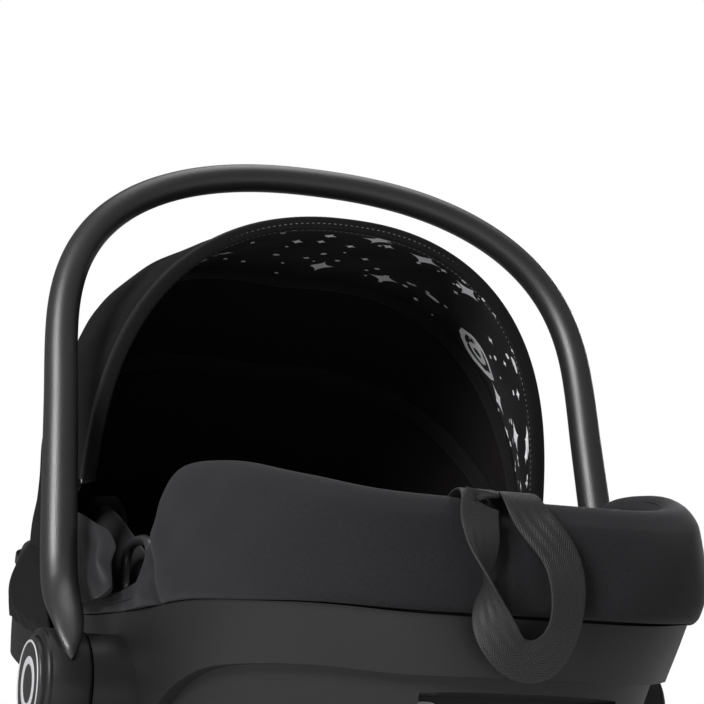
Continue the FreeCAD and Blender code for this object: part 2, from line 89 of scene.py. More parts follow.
# %% The outline's numbers
HULL_RINGS = np.array([
    (2, -118, 117, 92, 95, 3.2), (12, -162, 162, 107, 113, 3.0), (40, -214, 210, 120, 135, 2.8),
    (85, -257, 250, 132, 155, 2.7), (130, -287, 278, 142, 169, 2.6),
    (188, -314, 302, 150, 180, 2.7), (250, -318, 313, 157, 185, 4.0),
    (320, -302, 307, 156, 184, 4.1), (400, -277, 283, 153, 179, 4.1)])
HULL_RINGS = HULL_RINGS * [MM, MM, MM, MM, MM, 1]
HEAD_SQUARENESS = 5.0
RIM_LINE = MM * np.array([
    (-400, 289), (-350, 289), (-314, 290), (-291, 300), (-267, 309), (-238, 319), (-199, 328),
    (-165, 333), (-138, 331), (-120, 318), (-104, 294), (-88, 277), (-64, 270), (-34, 269),
    (0, 272), (44, 280), (100, 303), (150, 320), (200, 334), (250, 348), (300, 360), (400, 380)])
SHELL_LINE = MM * np.array([
    (-400, 219), (-350, 219), (-317, 220), (-296, 225), (-243, 234), (-158, 245), (-103, 248),
    (-51, 252), (0, 257), (60, 268), (120, 290), (200, 315), (300, 335), (400, 345)])


def spline(table, at):
    """Natural cubic spline through a table whose first column rises.

    The second derivatives m solve the usual three-term equations, with m = 0 at both ends;
    between two rows the value is the cubic that has those second derivatives.
    """
    x, y = table[:, 0], table[:, 1:]
    h = np.diff(x)[:, None]
    slopes = np.diff(y, axis=0) / h
    count = len(x)
    system = np.eye(count)
    inner = np.arange(1, count - 1)
    system[inner, inner - 1] = h[:-1, 0]
    system[inner, inner] = 2 * (h[:-1, 0] + h[1:, 0])
    system[inner, inner + 1] = h[1:, 0]
    right = np.zeros_like(y)
    right[1:-1] = 6 * np.diff(slopes, axis=0)
    m = np.linalg.solve(system, right)
    at = np.asarray(at, float)
    k = np.clip(np.searchsorted(x, at.ravel()) - 1, 0, count - 2)
    t = (at.ravel() - x[k])[:, None]
    left = h[k] - t
    value = (m[k] * left ** 3 + m[k + 1] * t ** 3) / (6 * h[k])
    value = value + (y[k] / h[k] - m[k] * h[k] / 6) * left + (y[k + 1] / h[k] - m[k + 1] * h[k] / 6) * t
    return value.reshape(at.shape + (y.shape[1],))


def signed_power(value, exponent):
    return np.sign(value) * np.abs(value) ** exponent


def smooth_step(low, high, value):
    """0 below low, 1 above high, and 3 t squared less 2 t cubed in between."""
    t = np.clip((value - low) / (high - low), 0, 1)
    return t * t * (3 - 2 * t)


def hull_xy(turn, height, outset):
    """Plan position on the bucket: a superellipse whose half width grows smoothly from the
    foot end to the head end, moved outwards by outset. Turn 0 points to the head end."""
    foot, head, wide_foot, wide_head, square_foot = np.moveaxis(spline(HULL_RINGS, height), -1, 0)
    square = np.where(np.cos(turn) > 0, HEAD_SQUARENESS, square_foot)
    along = signed_power(np.cos(turn), 2 / square)
    share = (along + 1) / 2
    width = wide_foot + (wide_head - wide_foot) * share * share * (3 - 2 * share) + outset
    y = (foot + head) / 2 + ((head - foot) / 2 + outset) * along
    return width * signed_power(np.sin(turn), 2 / square), y


def even_turns(count, height=0.28):
    """Turns round the bucket whose points are evenly spaced along the outline."""
    fine = np.linspace(0, 2 * math.pi, 6001)
    x, y = hull_xy(fine, np.full_like(fine, height), 0)
    run = np.concatenate([[0], np.cumsum(np.hypot(np.diff(x), np.diff(y)))])
    print("length round the bucket", round(run[-1], 3))
    return np.interp(np.arange(count) / count * run[-1], run, fine)


# %% [markdown]
# ## Turning a grid of points into a mesh
#
# Each soft piece is a function of two parameters. One helper takes the grid of points, joins
# the quads, closes what has to be closed, and writes a UV map in metres, so that a weave has
# its real scale wherever it lies.

# %% Putting a mesh in the scene
def add_piece(name, mesh):
    piece = bpy.data.objects.new(name, mesh)
    bpy.context.scene.collection.objects.link(piece)
    return piece


def repair(mesh, weld=0.0, face_out=True):
    """Welds points closer than weld, if it is given, and turns the faces outwards if asked."""
    work = bmesh.new()
    work.from_mesh(mesh)
    if weld:
        bmesh.ops.remove_doubles(work, verts=work.verts, dist=weld)
    if face_out:
        bmesh.ops.recalc_face_normals(work, faces=work.faces)
    work.to_mesh(mesh)
    work.free()


# %% From a grid to a mesh
def surface(name, points, wrap_u=False, wrap_v=False, close_ends=False):
    """A quad mesh over points[u, v], wrapped or capped as asked, with normals turned outwards.

    UVs are running distances: u along the middle column, v along the middle row."""
    rows, cols = points.shape[:2]
    index = np.arange(rows * cols).reshape(rows, cols)
    if wrap_u:
        index = np.vstack([index, index[:1]])
    if wrap_v:
        index = np.hstack([index, index[:, :1]])
    flat = points.reshape(-1, 3)
    across = flat[index[:, index.shape[1] // 2]]
    down = flat[index[index.shape[0] // 2]]
    run_u = np.concatenate([[0], np.cumsum(np.linalg.norm(np.diff(across, axis=0), axis=1))])
    run_v = np.concatenate([[0], np.cumsum(np.linalg.norm(np.diff(down, axis=0), axis=1))])
    grid_u, grid_v = np.meshgrid(run_u, run_v, indexing="ij")
    corner = [(slice(0, -1), slice(0, -1)), (slice(1, None), slice(0, -1)),
              (slice(1, None), slice(1, None)), (slice(0, -1), slice(1, None))]
    quads = np.stack([index[c] for c in corner], -1).reshape(-1, 4)
    u = np.stack([grid_u[c] for c in corner], -1).ravel()
    v = np.stack([grid_v[c] for c in corner], -1).ravel()
    faces = quads.tolist()
    if close_ends:
        faces = faces + [index[0, :cols].tolist(), index[-1, :cols][::-1].tolist()]
        spare = np.zeros(2 * cols)
        u, v = np.concatenate([u, spare]), np.concatenate([v, spare])
    mesh = bpy.data.meshes.new(name)
    mesh.from_pydata(flat.tolist(), [], faces)
    layer = mesh.uv_layers.new(name="UVMap")
    layer.data.foreach_set("uv", np.stack([u, v], -1).astype(np.float32).ravel())
    repair(mesh, weld=1e-6)
    mesh.shade_smooth()
    return add_piece(name, mesh)


SECTION_POINTS = 24


def ribbon_loop(path, side, normal, half_width, half_thick):
    """A flat strap's closed section, a rounded rectangle, carried along a path.

    Section points run round a superellipse of exponent 6, which is nearly a rectangle."""
    turn = np.linspace(0, 2 * math.pi, SECTION_POINTS, endpoint=False)
    a = signed_power(np.cos(turn), 1 / 3)[None, :, None]
    b = signed_power(np.sin(turn), 1 / 3)[None, :, None]
    return path[:, None] + a * half_width * side[:, None] + b * half_thick * normal[:, None]


def unit(vectors):
    return vectors / np.linalg.norm(vectors, axis=-1, keepdims=True)


def through(points, count):
    """A smooth curve through given points: a natural spline on the run between them,
    read at even distances."""
    points = np.asarray(points, float)
    run = np.concatenate([[0], np.cumsum(np.linalg.norm(np.diff(points, axis=0), axis=1))])
    table = np.column_stack([run, points])
    fine = spline(table, np.linspace(0, run[-1], 1200))
    true = np.concatenate([[0], np.cumsum(np.linalg.norm(np.diff(fine, axis=0), axis=1))])
    at = np.interp(np.linspace(0, true[-1], count), true, np.linspace(0, run[-1], 1200))
    return spline(table, at)


def oval_tube(name, path, radius_side, radius_up, up, points=24, wrap=False):
    """A path carried round by a cosine across and a sine up, each times its own radius.

    An open tube has flat ends, which shrink to a point only where its radii do."""
    turn = np.linspace(0, 2 * math.pi, points, endpoint=False)
    tangent = unit(np.roll(path, -1, 0) - np.roll(path, 1, 0) if wrap else np.gradient(path, axis=0))
    side = unit(np.cross(tangent, np.broadcast_to(np.array(up, float), path.shape)))
    above = np.cross(side, tangent)
    size_side = np.broadcast_to(radius_side, len(path))[:, None, None]
    size_up = np.broadcast_to(radius_up, len(path))[:, None, None]
    ring = (np.cos(turn)[None, :, None] * size_side * side[:, None]
            + np.sin(turn)[None, :, None] * size_up * above[:, None])
    return surface(name, path[:, None] + ring, wrap, True, not wrap)


def dress(piece, material, body=None, nodes=()):
    """Gives a piece its material and slot, the body it rides on and the nodes it stands for."""
    piece.data.materials.clear()
    piece.data.materials.append(material)
    if nodes:
        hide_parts(*nodes)
    if body:
        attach(piece, body)
    print(piece.name, len(piece.data.polygons), "faces")
    return piece


# %% [markdown]
# ## Effects that several finishes share
#
# Moulded grain, a plain weave and a ribbed webbing are shader node groups.
# They put out masks and heights only, and each material keeps its own Principled shader.

# %% A small kit for node groups
def new_group(name, inputs, outputs):
    """An empty group; inputs is {name: (type, default)} and outputs is {name: type}."""
    group = bpy.data.node_groups.new(name, "ShaderNodeTree")
    for label, (kind, value) in inputs.items():
        socket = group.interface.new_socket(label, in_out="INPUT", socket_type=kind)
        if value is not None:
            socket.default_value = value
    for label, kind in outputs.items():
        group.interface.new_socket(label, in_out="OUTPUT", socket_type=kind)
    return group, group.nodes.new("NodeGroupInput"), group.nodes.new("NodeGroupOutput")


def join(tree, source, target):
    """Links an output to an input, or sets the input when the source is a plain value."""
    if isinstance(source, bpy.types.NodeSocket):
        tree.links.new(source, target)
    else:
        target.default_value = source


def maths(tree, operation, *values, clamp=False):
    node = tree.nodes.new("ShaderNodeMath")
    node.operation = operation
    node.use_clamp = clamp
    for k, value in enumerate(values):
        join(tree, value, node.inputs[k])
    return node.outputs[0]


def noise(tree, vector, scale, detail=2.0, rough=0.5):
    node = tree.nodes.new("ShaderNodeTexNoise")
    join(tree, vector, node.inputs["Vector"])
    join(tree, scale, node.inputs["Scale"])
    node.inputs["Detail"].default_value = detail
    node.inputs["Roughness"].default_value = rough
    return node.outputs["Fac"]


FLOAT, VECTOR = "NodeSocketFloat", "NodeSocketVector"


# %% Moulded grain
def make_grain():
    """Fine leather-like grain of spark-eroded tooling, with broad cloudy variation."""
    group, given, out = new_group(
        "moulded_grain", {"Vector": (VECTOR, None), "Scale": (FLOAT, 900.0)},
        {"Height": FLOAT, "Cloud": FLOAT})
    fine = noise(group, given.outputs["Vector"], given.outputs["Scale"], 3.0, 0.6)
    cells = group.nodes.new("ShaderNodeTexVoronoi")
    join(group, given.outputs["Vector"], cells.inputs["Vector"])
    join(group, maths(group, "MULTIPLY", given.outputs["Scale"], 0.9), cells.inputs["Scale"])
    height = maths(group, "ADD", fine, maths(group, "MULTIPLY", cells.outputs["Distance"], 0.7))
    join(group, height, out.inputs["Height"])
    join(group, noise(group, given.outputs["Vector"], 14.0, 3.0, 0.55), out.inputs["Cloud"])
    return group


GRAIN = make_grain()


# %% Woven and knitted cloth
def make_weave():
    """Plain weave on a UV map in metres: two crossed sine waves, each shifted by half a thread
    on every other row, and a light and dark mix of yarns."""
    group, given, out = new_group(
        "weave", {"UV": (VECTOR, None), "Thread": (FLOAT, 0.0008)},
        {"Height": FLOAT, "Yarn": FLOAT, "Cloud": FLOAT})
    parts = group.nodes.new("ShaderNodeSeparateXYZ")
    join(group, given.outputs["UV"], parts.inputs[0])
    pitch = maths(group, "DIVIDE", 2 * math.pi, given.outputs["Thread"])
    wave_u = maths(group, "SINE", maths(group, "MULTIPLY", parts.outputs[0], pitch))
    wave_v = maths(group, "SINE", maths(group, "MULTIPLY", parts.outputs[1], pitch))
    height = maths(group, "MULTIPLY", wave_u, wave_v)
    join(group, maths(group, "MULTIPLY_ADD", height, 0.5, 0.5), out.inputs["Height"])
    stretch = group.nodes.new("ShaderNodeVectorMath")
    stretch.operation = "MULTIPLY"
    join(group, given.outputs["UV"], stretch.inputs[0])
    stretch.inputs[1].default_value = (1.0, 0.28, 1.0)
    join(group, noise(group, stretch.outputs[0], 1500.0, 2.0, 0.7), out.inputs["Yarn"])
    join(group, noise(group, given.outputs["UV"], 22.0, 3.0, 0.5), out.inputs["Cloud"])
    return group


WEAVE = make_weave()


# %% Ribbed webbing
def make_ribs():
    """Webbing: fine ribs across the strap and a herringbone along it, from the UV in metres."""
    group, given, out = new_group("webbing_ribs", {"UV": (VECTOR, None)},
                                  {"Height": FLOAT, "Yarn": FLOAT})
    parts = group.nodes.new("ShaderNodeSeparateXYZ")
    join(group, given.outputs["UV"], parts.inputs[0])
    zigzag = maths(group, "PINGPONG", parts.outputs[1], 0.003)
    lean = maths(group, "ADD", parts.outputs[0], zigzag)
    ribs = maths(group, "SINE", maths(group, "MULTIPLY", lean, 2 * math.pi / 0.0014))
    join(group, maths(group, "MULTIPLY_ADD", ribs, 0.5, 0.5), out.inputs["Height"])
    join(group, noise(group, given.outputs["UV"], 900.0, 2.0, 0.6), out.inputs["Yarn"])
    return group


RIBS = make_ribs()


# %% [markdown]
# ## The finishes
#
# A finish is two close colours mixed by a slow or fine pattern, a roughness that wanders a
# little, and a bump of the right scale.

# %% Making a material from a group
def principled(name):
    material = bpy.data.materials.new(name)
    material.use_nodes = True
    tree = material.node_tree
    return material, tree, tree.nodes["Principled BSDF"]


def coordinates(tree, kind):
    return tree.nodes.new("ShaderNodeTexCoord").outputs[kind]


def group_node(tree, group, **values):
    node = tree.nodes.new("ShaderNodeGroup")
    node.node_tree = group
    for label, value in values.items():
        join(tree, value, node.inputs[label])
    return node


def two_colours(tree, shader, mask, dark, light):
    ramp = tree.nodes.new("ShaderNodeMix")
    ramp.data_type = "RGBA"
    join(tree, mask, ramp.inputs["Factor"])
    ramp.inputs["A"].default_value = (*dark, 1)
    ramp.inputs["B"].default_value = (*light, 1)
    tree.links.new(ramp.outputs["Result"], shader.inputs["Base Color"])


def bump(tree, shader, height, distance, strength=1.0):
    node = tree.nodes.new("ShaderNodeBump")
    node.inputs["Distance"].default_value = distance
    node.inputs["Strength"].default_value = strength
    tree.links.new(height, node.inputs["Height"])
    tree.links.new(node.outputs["Normal"], shader.inputs["Normal"])


def spread(tree, value, low, high):
    """Maps a 0 to 1 pattern to the range low to high."""
    return maths(tree, "MULTIPLY_ADD", value, high - low, low)


def plastic(name, dark, light, rough, grain=900.0, depth=0.00004, specular=0.5, coat=0.0):
    """Moulded or coated plastic with grain on Object coordinates."""
    material, tree, shader = principled(name)
    grained = group_node(tree, GRAIN, Vector=coordinates(tree, "Object"), Scale=grain)
    two_colours(tree, shader, grained.outputs["Cloud"], dark, light)
    join(tree, spread(tree, grained.outputs["Cloud"], rough - 0.05, rough + 0.08),
         shader.inputs["Roughness"])
    shader.inputs["Specular IOR Level"].default_value = specular
    shader.inputs["Coat Weight"].default_value = coat
    bump(tree, shader, grained.outputs["Height"], depth)
    return material


def cloth(name, dark, light, rough=0.85, thread=0.0009, depth=0.0002, sheen=0.25, kind="UV"):
    """Woven or knitted cloth on the piece's own UV map, or on Object coordinates where a
    piece has none, with mixed yarns and a soft sheen."""
    material, tree, shader = principled(name)
    woven = group_node(tree, WEAVE, UV=coordinates(tree, kind), Thread=thread)
    mask = maths(tree, "MULTIPLY", woven.outputs["Yarn"],
                 spread(tree, woven.outputs["Height"], 0.55, 1.25), clamp=True)
    two_colours(tree, shader, mask, dark, light)
    join(tree, spread(tree, woven.outputs["Cloud"], rough - 0.08, rough + 0.06),
         shader.inputs["Roughness"])
    shader.inputs["Specular IOR Level"].default_value = 0.14
    shader.inputs["Sheen Weight"].default_value = sheen
    shader.inputs["Sheen Roughness"].default_value = 0.45
    shader.inputs["Sheen Tint"].default_value = (0.55, 0.55, 0.58, 1)
    bump(tree, shader, woven.outputs["Height"], depth, 0.6)
    return material


# %% The plastics and metals
SHELL_PLASTIC = plastic("shell_plastic", (0.0058, 0.0058, 0.0065), (0.0094, 0.0094, 0.0101), 0.5, 1100.0,
                       specular=0.38)
LOWER_PLASTIC = plastic("lower_plastic", (0.0072, 0.0072, 0.0079), (0.0115, 0.0115, 0.0122), 0.55, 1100.0,
                       specular=0.36)
TUB_PLASTIC = plastic("tub_plastic", (0.0086, 0.0086, 0.0086), (0.013, 0.013, 0.0137), 0.6, 700.0)
HUB_PLASTIC = plastic("hub_plastic", (0.0072, 0.0072, 0.0079), (0.0108, 0.0108, 0.0115), 0.42, 1500.0,
                     specular=0.34)
HANDLE_COAT = plastic("handle_coating", (0.0125, 0.0125, 0.0132), (0.018, 0.018, 0.0188), 0.38, 1300.0,
                      0.00010, 0.7)
BUTTON_PLASTIC = plastic("button_plastic", (0.0115, 0.0115, 0.0122), (0.0158, 0.0158, 0.0166), 0.4, 1500.0)
GUIDE_PLASTIC = plastic("guide_plastic", (0.0216, 0.0216, 0.023), (0.0288, 0.0288, 0.031), 0.3, 1500.0,
                        0.00002, 0.6)
RUBBER = plastic("rubber_black", (0.0072, 0.0072, 0.0072), (0.0115, 0.0115, 0.0115), 0.75, 500.0, 0.0001)
BOW_PLASTIC = plastic("bow_plastic", (0.0043, 0.0043, 0.0043), (0.0072, 0.0072, 0.0072), 0.5)
FOAM = plastic("foam", (0.5, 0.5, 0.49), (0.6, 0.6, 0.59), 0.8, 260.0, 0.0004, 0.3)
RED_PLASTIC = plastic("red_plastic", (0.3, 0.01, 0.01), (0.36, 0.014, 0.012), 0.35, 900.0,
                      0.00001, 0.5, 0.2)
STEEL = plastic("pin_steel", (0.42, 0.42, 0.43), (0.55, 0.55, 0.56), 0.35, 2200.0, 0.00002)
STEEL.node_tree.nodes["Principled BSDF"].inputs["Metallic"].default_value = 1.0

# %% The fabrics
COVER_CLOTH = cloth("cover_fabric", (0.0043, 0.0043, 0.005), (0.0216, 0.0216, 0.0238), 0.82, 0.0009,
                    0.00025, 0.12)
CUSHION_CLOTH = cloth("cushion_fabric", (0.0043, 0.0043, 0.005), (0.0158, 0.0158, 0.0173), 0.9, 0.0014,
                      0.0004, 0.15, "Object")
CANOPY_CLOTH = cloth("canopy_fabric", (0.0014, 0.0014, 0.0016), (0.0044, 0.0044, 0.0048), 0.85, 0.0006,
                     0.00012, 0.02)
LINING_CLOTH = cloth("lining_fabric", (0.0026, 0.0020, 0.0024), (0.0085, 0.0068, 0.0078), 0.9, 0.0006,
                     0.00012, 0.02)
PIPING_CLOTH = cloth("piping_fabric", (0.0029, 0.0029, 0.0029), (0.0086, 0.0086, 0.0094), 0.8, 0.0006,
                     0.00012, 0.10)
SEAM_THREAD = cloth("seam_thread", (0.1, 0.1, 0.105), (0.26, 0.26, 0.27), 0.7, 0.0004, 0.0001, 0.0)


def webbing_material():
    material, tree, shader = principled("webbing")
    ribs = group_node(tree, RIBS, UV=coordinates(tree, "UV"))
    mask = maths(tree, "MULTIPLY", ribs.outputs["Yarn"],
                 spread(tree, ribs.outputs["Height"], 0.4, 1.3), clamp=True)
    two_colours(tree, shader, mask, (0.0045, 0.0045, 0.005), (0.028, 0.028, 0.030))
    join(tree, spread(tree, ribs.outputs["Yarn"], 0.45, 0.65), shader.inputs["Roughness"])
    shader.inputs["Specular IOR Level"].default_value = 0.4
    bump(tree, shader, ribs.outputs["Height"], 0.0003, 0.7)
    return material


WEBBING = webbing_material()


# %% The printed lining
PRINT_RINGS = [(0.455, 0.235)]


def make_print():
    """Scattered pale shapes on a UV map in metres: four-pointed stars where both
    distances, each to the power 0.6, add up to little, dots and pebbles inside a radius, and
    one double ring at a set place."""
    group, given, out = new_group("scattered_print", {"UV": (VECTOR, None)}, {"Mask": FLOAT})

    def cells(scale, shift):
        moved = group.nodes.new("ShaderNodeVectorMath")
        moved.operation = "ADD"
        join(group, given.outputs["UV"], moved.inputs[0])
        moved.inputs[1].default_value = (shift, shift * 0.7, 0)
        node = group.nodes.new("ShaderNodeTexVoronoi")
        node.voronoi_dimensions = "2D"
        node.inputs["Scale"].default_value = scale
        node.inputs["Randomness"].default_value = 0.85
        join(group, moved.outputs[0], node.inputs["Vector"])
        local = group.nodes.new("ShaderNodeVectorMath")
        local.operation = "SUBTRACT"
        join(group, moved.outputs[0], local.inputs[0])
        join(group, node.outputs["Position"], local.inputs[1])
        parts = group.nodes.new("ShaderNodeSeparateXYZ")
        join(group, local.outputs[0], parts.inputs[0])
        chance = group.nodes.new("ShaderNodeSeparateColor")
        join(group, node.outputs["Color"], chance.inputs[0])
        return parts, chance.outputs[0], chance.outputs[1]

    def star(scale, shift, share, small, large):
        parts, pick, size = cells(scale, shift)
        legs = [maths(group, "POWER", maths(group, "ABSOLUTE", parts.outputs[k]), 0.6)
                for k in (0, 1)]
        reach = maths(group, "POWER", spread(group, size, small, large), 0.6)
        inside = maths(group, "LESS_THAN", maths(group, "ADD", *legs), reach)
        return maths(group, "MULTIPLY", inside, maths(group, "LESS_THAN", pick, share))

    def blob(scale, shift, share, small, large, flatten, wobble):
        parts, pick, size = cells(scale, shift)
        squares = [maths(group, "POWER", maths(group, "ABSOLUTE", maths(group, "MULTIPLY",
                   parts.outputs[k], (1.0, flatten)[k])), 2.0) for k in (0, 1)]
        far = maths(group, "SQRT", maths(group, "ADD", *squares))
        rough = spread(group, noise(group, given.outputs["UV"], 110.0, 1.0), -wobble, wobble)
        limit = maths(group, "ADD", spread(group, size, small, large), rough)
        inside = maths(group, "LESS_THAN", far, limit)
        return maths(group, "MULTIPLY", inside, maths(group, "LESS_THAN", pick, share))

    def ring(centre_u, centre_v, radius, width):
        parts = group.nodes.new("ShaderNodeSeparateXYZ")
        join(group, given.outputs["UV"], parts.inputs[0])
        squares = [maths(group, "POWER", maths(group, "ABSOLUTE", maths(group, "SUBTRACT",
                   parts.outputs[k], (centre_u, centre_v)[k])), 2.0) for k in (0, 1)]
        far = maths(group, "SQRT", maths(group, "ADD", *squares))
        rough = spread(group, noise(group, given.outputs["UV"], 60.0, 1.0), -0.004, 0.004)
        off = maths(group, "ABSOLUTE", maths(group, "SUBTRACT", maths(group, "ADD", far, rough), radius))
        return maths(group, "LESS_THAN", off, width)

    marks = [star(23.0, 0.0, 0.50, 0.008, 0.017), star(44.0, 3.1, 0.30, 0.003, 0.007),
             blob(62.0, 5.3, 0.42, 0.0009, 0.0026, 1.0, 0.0003),
             blob(13.0, 9.7, 0.40, 0.005, 0.013, 2.2, 0.003)]
    for u, v in PRINT_RINGS:
        marks = marks + [ring(u, v, 0.019, 0.0032), ring(u, v, 0.0075, 0.0028)]
    total = marks[0]
    for mark in marks[1:]:
        total = maths(group, "MAXIMUM", total, mark)
    join(group, total, out.inputs["Mask"])
    return group


def printed_cloth():
    """The lining's dark weave with the print laid over it."""
    material = cloth("print_fabric", (0.003, 0.003, 0.0035), (0.010, 0.010, 0.011), 0.85, 0.0006,
                     0.00012, 0.05)
    tree = material.node_tree
    shader = tree.nodes["Principled BSDF"]
    under = shader.inputs["Base Color"].links[0].from_socket
    marks = group_node(tree, make_print(), UV=coordinates(tree, "UV"))
    ink = tree.nodes.new("ShaderNodeMix")
    ink.data_type = "RGBA"
    tree.links.new(marks.outputs["Mask"], ink.inputs["Factor"])
    tree.links.new(under, ink.inputs["A"])
    ink.inputs["B"].default_value = (0.88, 0.88, 0.90, 1)
    tree.links.new(ink.outputs["Result"], shader.inputs["Base Color"])
    return material


PRINT_CLOTH = printed_cloth()

# %% [markdown]
# ## Finishes for the hard parts
#
# The hard parts keep their own shapes. Each only needs the right material in its slot.

# %% Give every node its material
FINISH_BY_NODE = {
    SHELL_PLASTIC: ["upper_shell"],
    LOWER_PLASTIC: ["lower_shell", "rocker_rail", "lever_mount"],
    TUB_PLASTIC: ["seat_tub"],
    HUB_PLASTIC: ["hub_boss", "handle_hub"],
    HANDLE_COAT: ["handle_tube"],
    BUTTON_PLASTIC: ["handle_button", "adjuster_housing", "release_lever", "buckle_body",
                     "buckle_tongue"],
    GUIDE_PLASTIC: ["belt_guide"],
    RUBBER: ["rocker_pad"],
    BOW_PLASTIC: ["canopy_pin", "canopy_front_bow", "canopy_middle_bow", "canopy_rear_bow",
                  "canopy_fixed_bow"],
    FOAM: ["foam_liner"],
    RED_PLASTIC: ["buckle_button", "adjuster_button"],
    STEEL: ["pivot_pin", "lock_gear", "lock_bar", "button_spring", "lever_pin"],
    COVER_CLOTH: ["seat_cover"],
    CUSHION_CLOTH: ["seat_cushion", "back_cushion", "headrest_pad", "shoulder_pad"],
    CANOPY_CLOTH: ["canopy_front_panel", "canopy_middle_panel", "canopy_rear_panel"],
    WEBBING: ["shoulder_strap", "crotch_strap", "front_strap"],
}
for finish, starts in FINISH_BY_NODE.items():
    for node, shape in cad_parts.items():
        if node.startswith(tuple(starts)):
            shape.data.materials.clear()
            shape.data.materials.append(finish)

# %% [markdown]
# ## The carry handle
#
# The handle is one coated tube: two legs that lean in a little, an arch between them, and at
# each end a root that flows over the front of the hub's drum and runs out to a point. It is
# an oval section carried along one smooth line. The drum is a profile turned round the axle.

# %% The handle's line and sections
HANDLE_HALF_WIDTH = 205.5 * MM
HANDLE_LEG_INSET = 0.0215
HANDLE_STRAIGHT = 223.0 * MM
HANDLE_HEIGHT = 395.9 * MM
HANDLE_LEAN = math.radians(9.6)
ARCH_SIDE = 2.27
ARCH_CROWN = 2.93
LEG_RADIUS, CROWN_RADIUS = 12.3 * MM, 10.3 * MM
ROOT = MM * np.array([(-37.0, 6), (-35.0, 16), (-30.5, 28), (-23, 40), (-13.5, 52), (-5, 66), (-1, 82)])


def lean_points(x, forward, up):
    """Points of the handle's own upright frame, leaned back about the axle."""
    y = HUB[1] + forward * math.cos(HANDLE_LEAN) + up * math.sin(HANDLE_LEAN)
    z = HUB[2] - forward * math.sin(HANDLE_LEAN) + up * math.cos(HANDLE_LEAN)
    return np.stack(np.broadcast_arrays(x, y, z), -1)


ROOT_SPAN = 0.052        # the root widens from its point over this height
LEG_START = 0.105
TAPER_START = 0.12       # the tube gets thinner from here to the crown


def half_handle(count=220):
    """From the root's point to the crown: root, straight leg, and a quarter of the arch whose
    two directions are a cosine and a sine, each to its own power."""
    turn = np.linspace(0, math.pi / 2, 40)
    arch_x = (HANDLE_HALF_WIDTH - HANDLE_LEG_INSET * HANDLE_STRAIGHT) * np.cos(turn) ** (2 / ARCH_SIDE)
    arch_up = HANDLE_STRAIGHT + (HANDLE_HEIGHT - HANDLE_STRAIGHT) * np.sin(turn) ** (2 / ARCH_CROWN)
    leg_up = np.linspace(LEG_START, HANDLE_STRAIGHT - 0.02, 6)
    leg_x = HANDLE_HALF_WIDTH - HANDLE_LEG_INSET * leg_up
    root_x = HANDLE_HALF_WIDTH - HANDLE_LEG_INSET * ROOT[:, 1]
    x = np.concatenate([root_x, leg_x, arch_x[2:]])
    forward = np.concatenate([ROOT[:, 0], 0 * leg_x, 0 * arch_x[2:]])
    up = np.concatenate([ROOT[:, 1], leg_up, arch_up[2:]])
    return through(np.stack([x, forward, up], -1), count)


def make_handle():
    half = half_handle()
    whole = np.vstack([half * [-1, 1, 1], half[-2::-1]])
    path = lean_points(whole[:, 0], whole[:, 1], whole[:, 2])
    up = whole[:, 2]
    taper = np.clip((up - TAPER_START) / (HANDLE_HEIGHT - TAPER_START), 0, 1)
    radius = LEG_RADIUS + (CROWN_RADIUS - LEG_RADIUS) * taper
    point = np.clip((up - ROOT[0, 1]) / ROOT_SPAN, 0, 1)
    width = radius * np.sqrt(point * (2 - point)) ** 1.4 + 1e-5
    depth = radius * (0.30 + 0.70 * smooth_step(0.020, 0.075, up)) * np.minimum(1, point * 8) + 1e-5
    normal = (0.0, math.cos(HANDLE_LEAN), -math.sin(HANDLE_LEAN))
    return oval_tube("carry_handle_tube", path, width, depth, normal, 40)


handle = make_handle()
dress(handle, HANDLE_COAT, "carry_handle", ["handle_tube"])

# %% The hub drums
DRUM = MM * np.array([
    (190.6, 8.2), (190.6, 20), (190.6, 33.0), (191.4, 35.2), (193.4, 36.0), (205, 36.0), (216.6, 36.0),
    (217.2, 35.6), (217.8, 36.0), (219.6, 35.4), (220.8, 33.6), (221.0, 31.6), (220.6, 30.6),
    (207.0, 30.5), (207.0, 20), (207.0, 8.2)])


def drum(name, side, node):
    """A closed profile of (distance out, radius) turned once round the handle's axle."""
    turn = np.linspace(0, 2 * math.pi, 128, endpoint=False)
    x, radius = DRUM[None, :, 0], DRUM[None, :, 1]
    rounds = [side * x + 0 * turn[:, None], HUB[1] + radius * np.cos(turn)[:, None],
              HUB[2] + radius * np.sin(turn)[:, None]]
    piece = surface(name, np.stack(rounds, -1), True, True)
    return dress(piece, HUB_PLASTIC, "carry_handle", [node])


drum("hub_drum_left", -1, "handle_hub_left")
drum("hub_drum_right", 1, "handle_hub_right")

# %% [markdown]
# ## The padded cover
#
# The cover is a fabric channel that is pulled over the bucket's rim. Its closed section runs
# from a hem tucked behind the shell's edge, out and up the padded wall, over the rolled rim
# and down the lining inside, then back along the inside of the cloth. The section is carried
# round the bucket, and its ends meet.

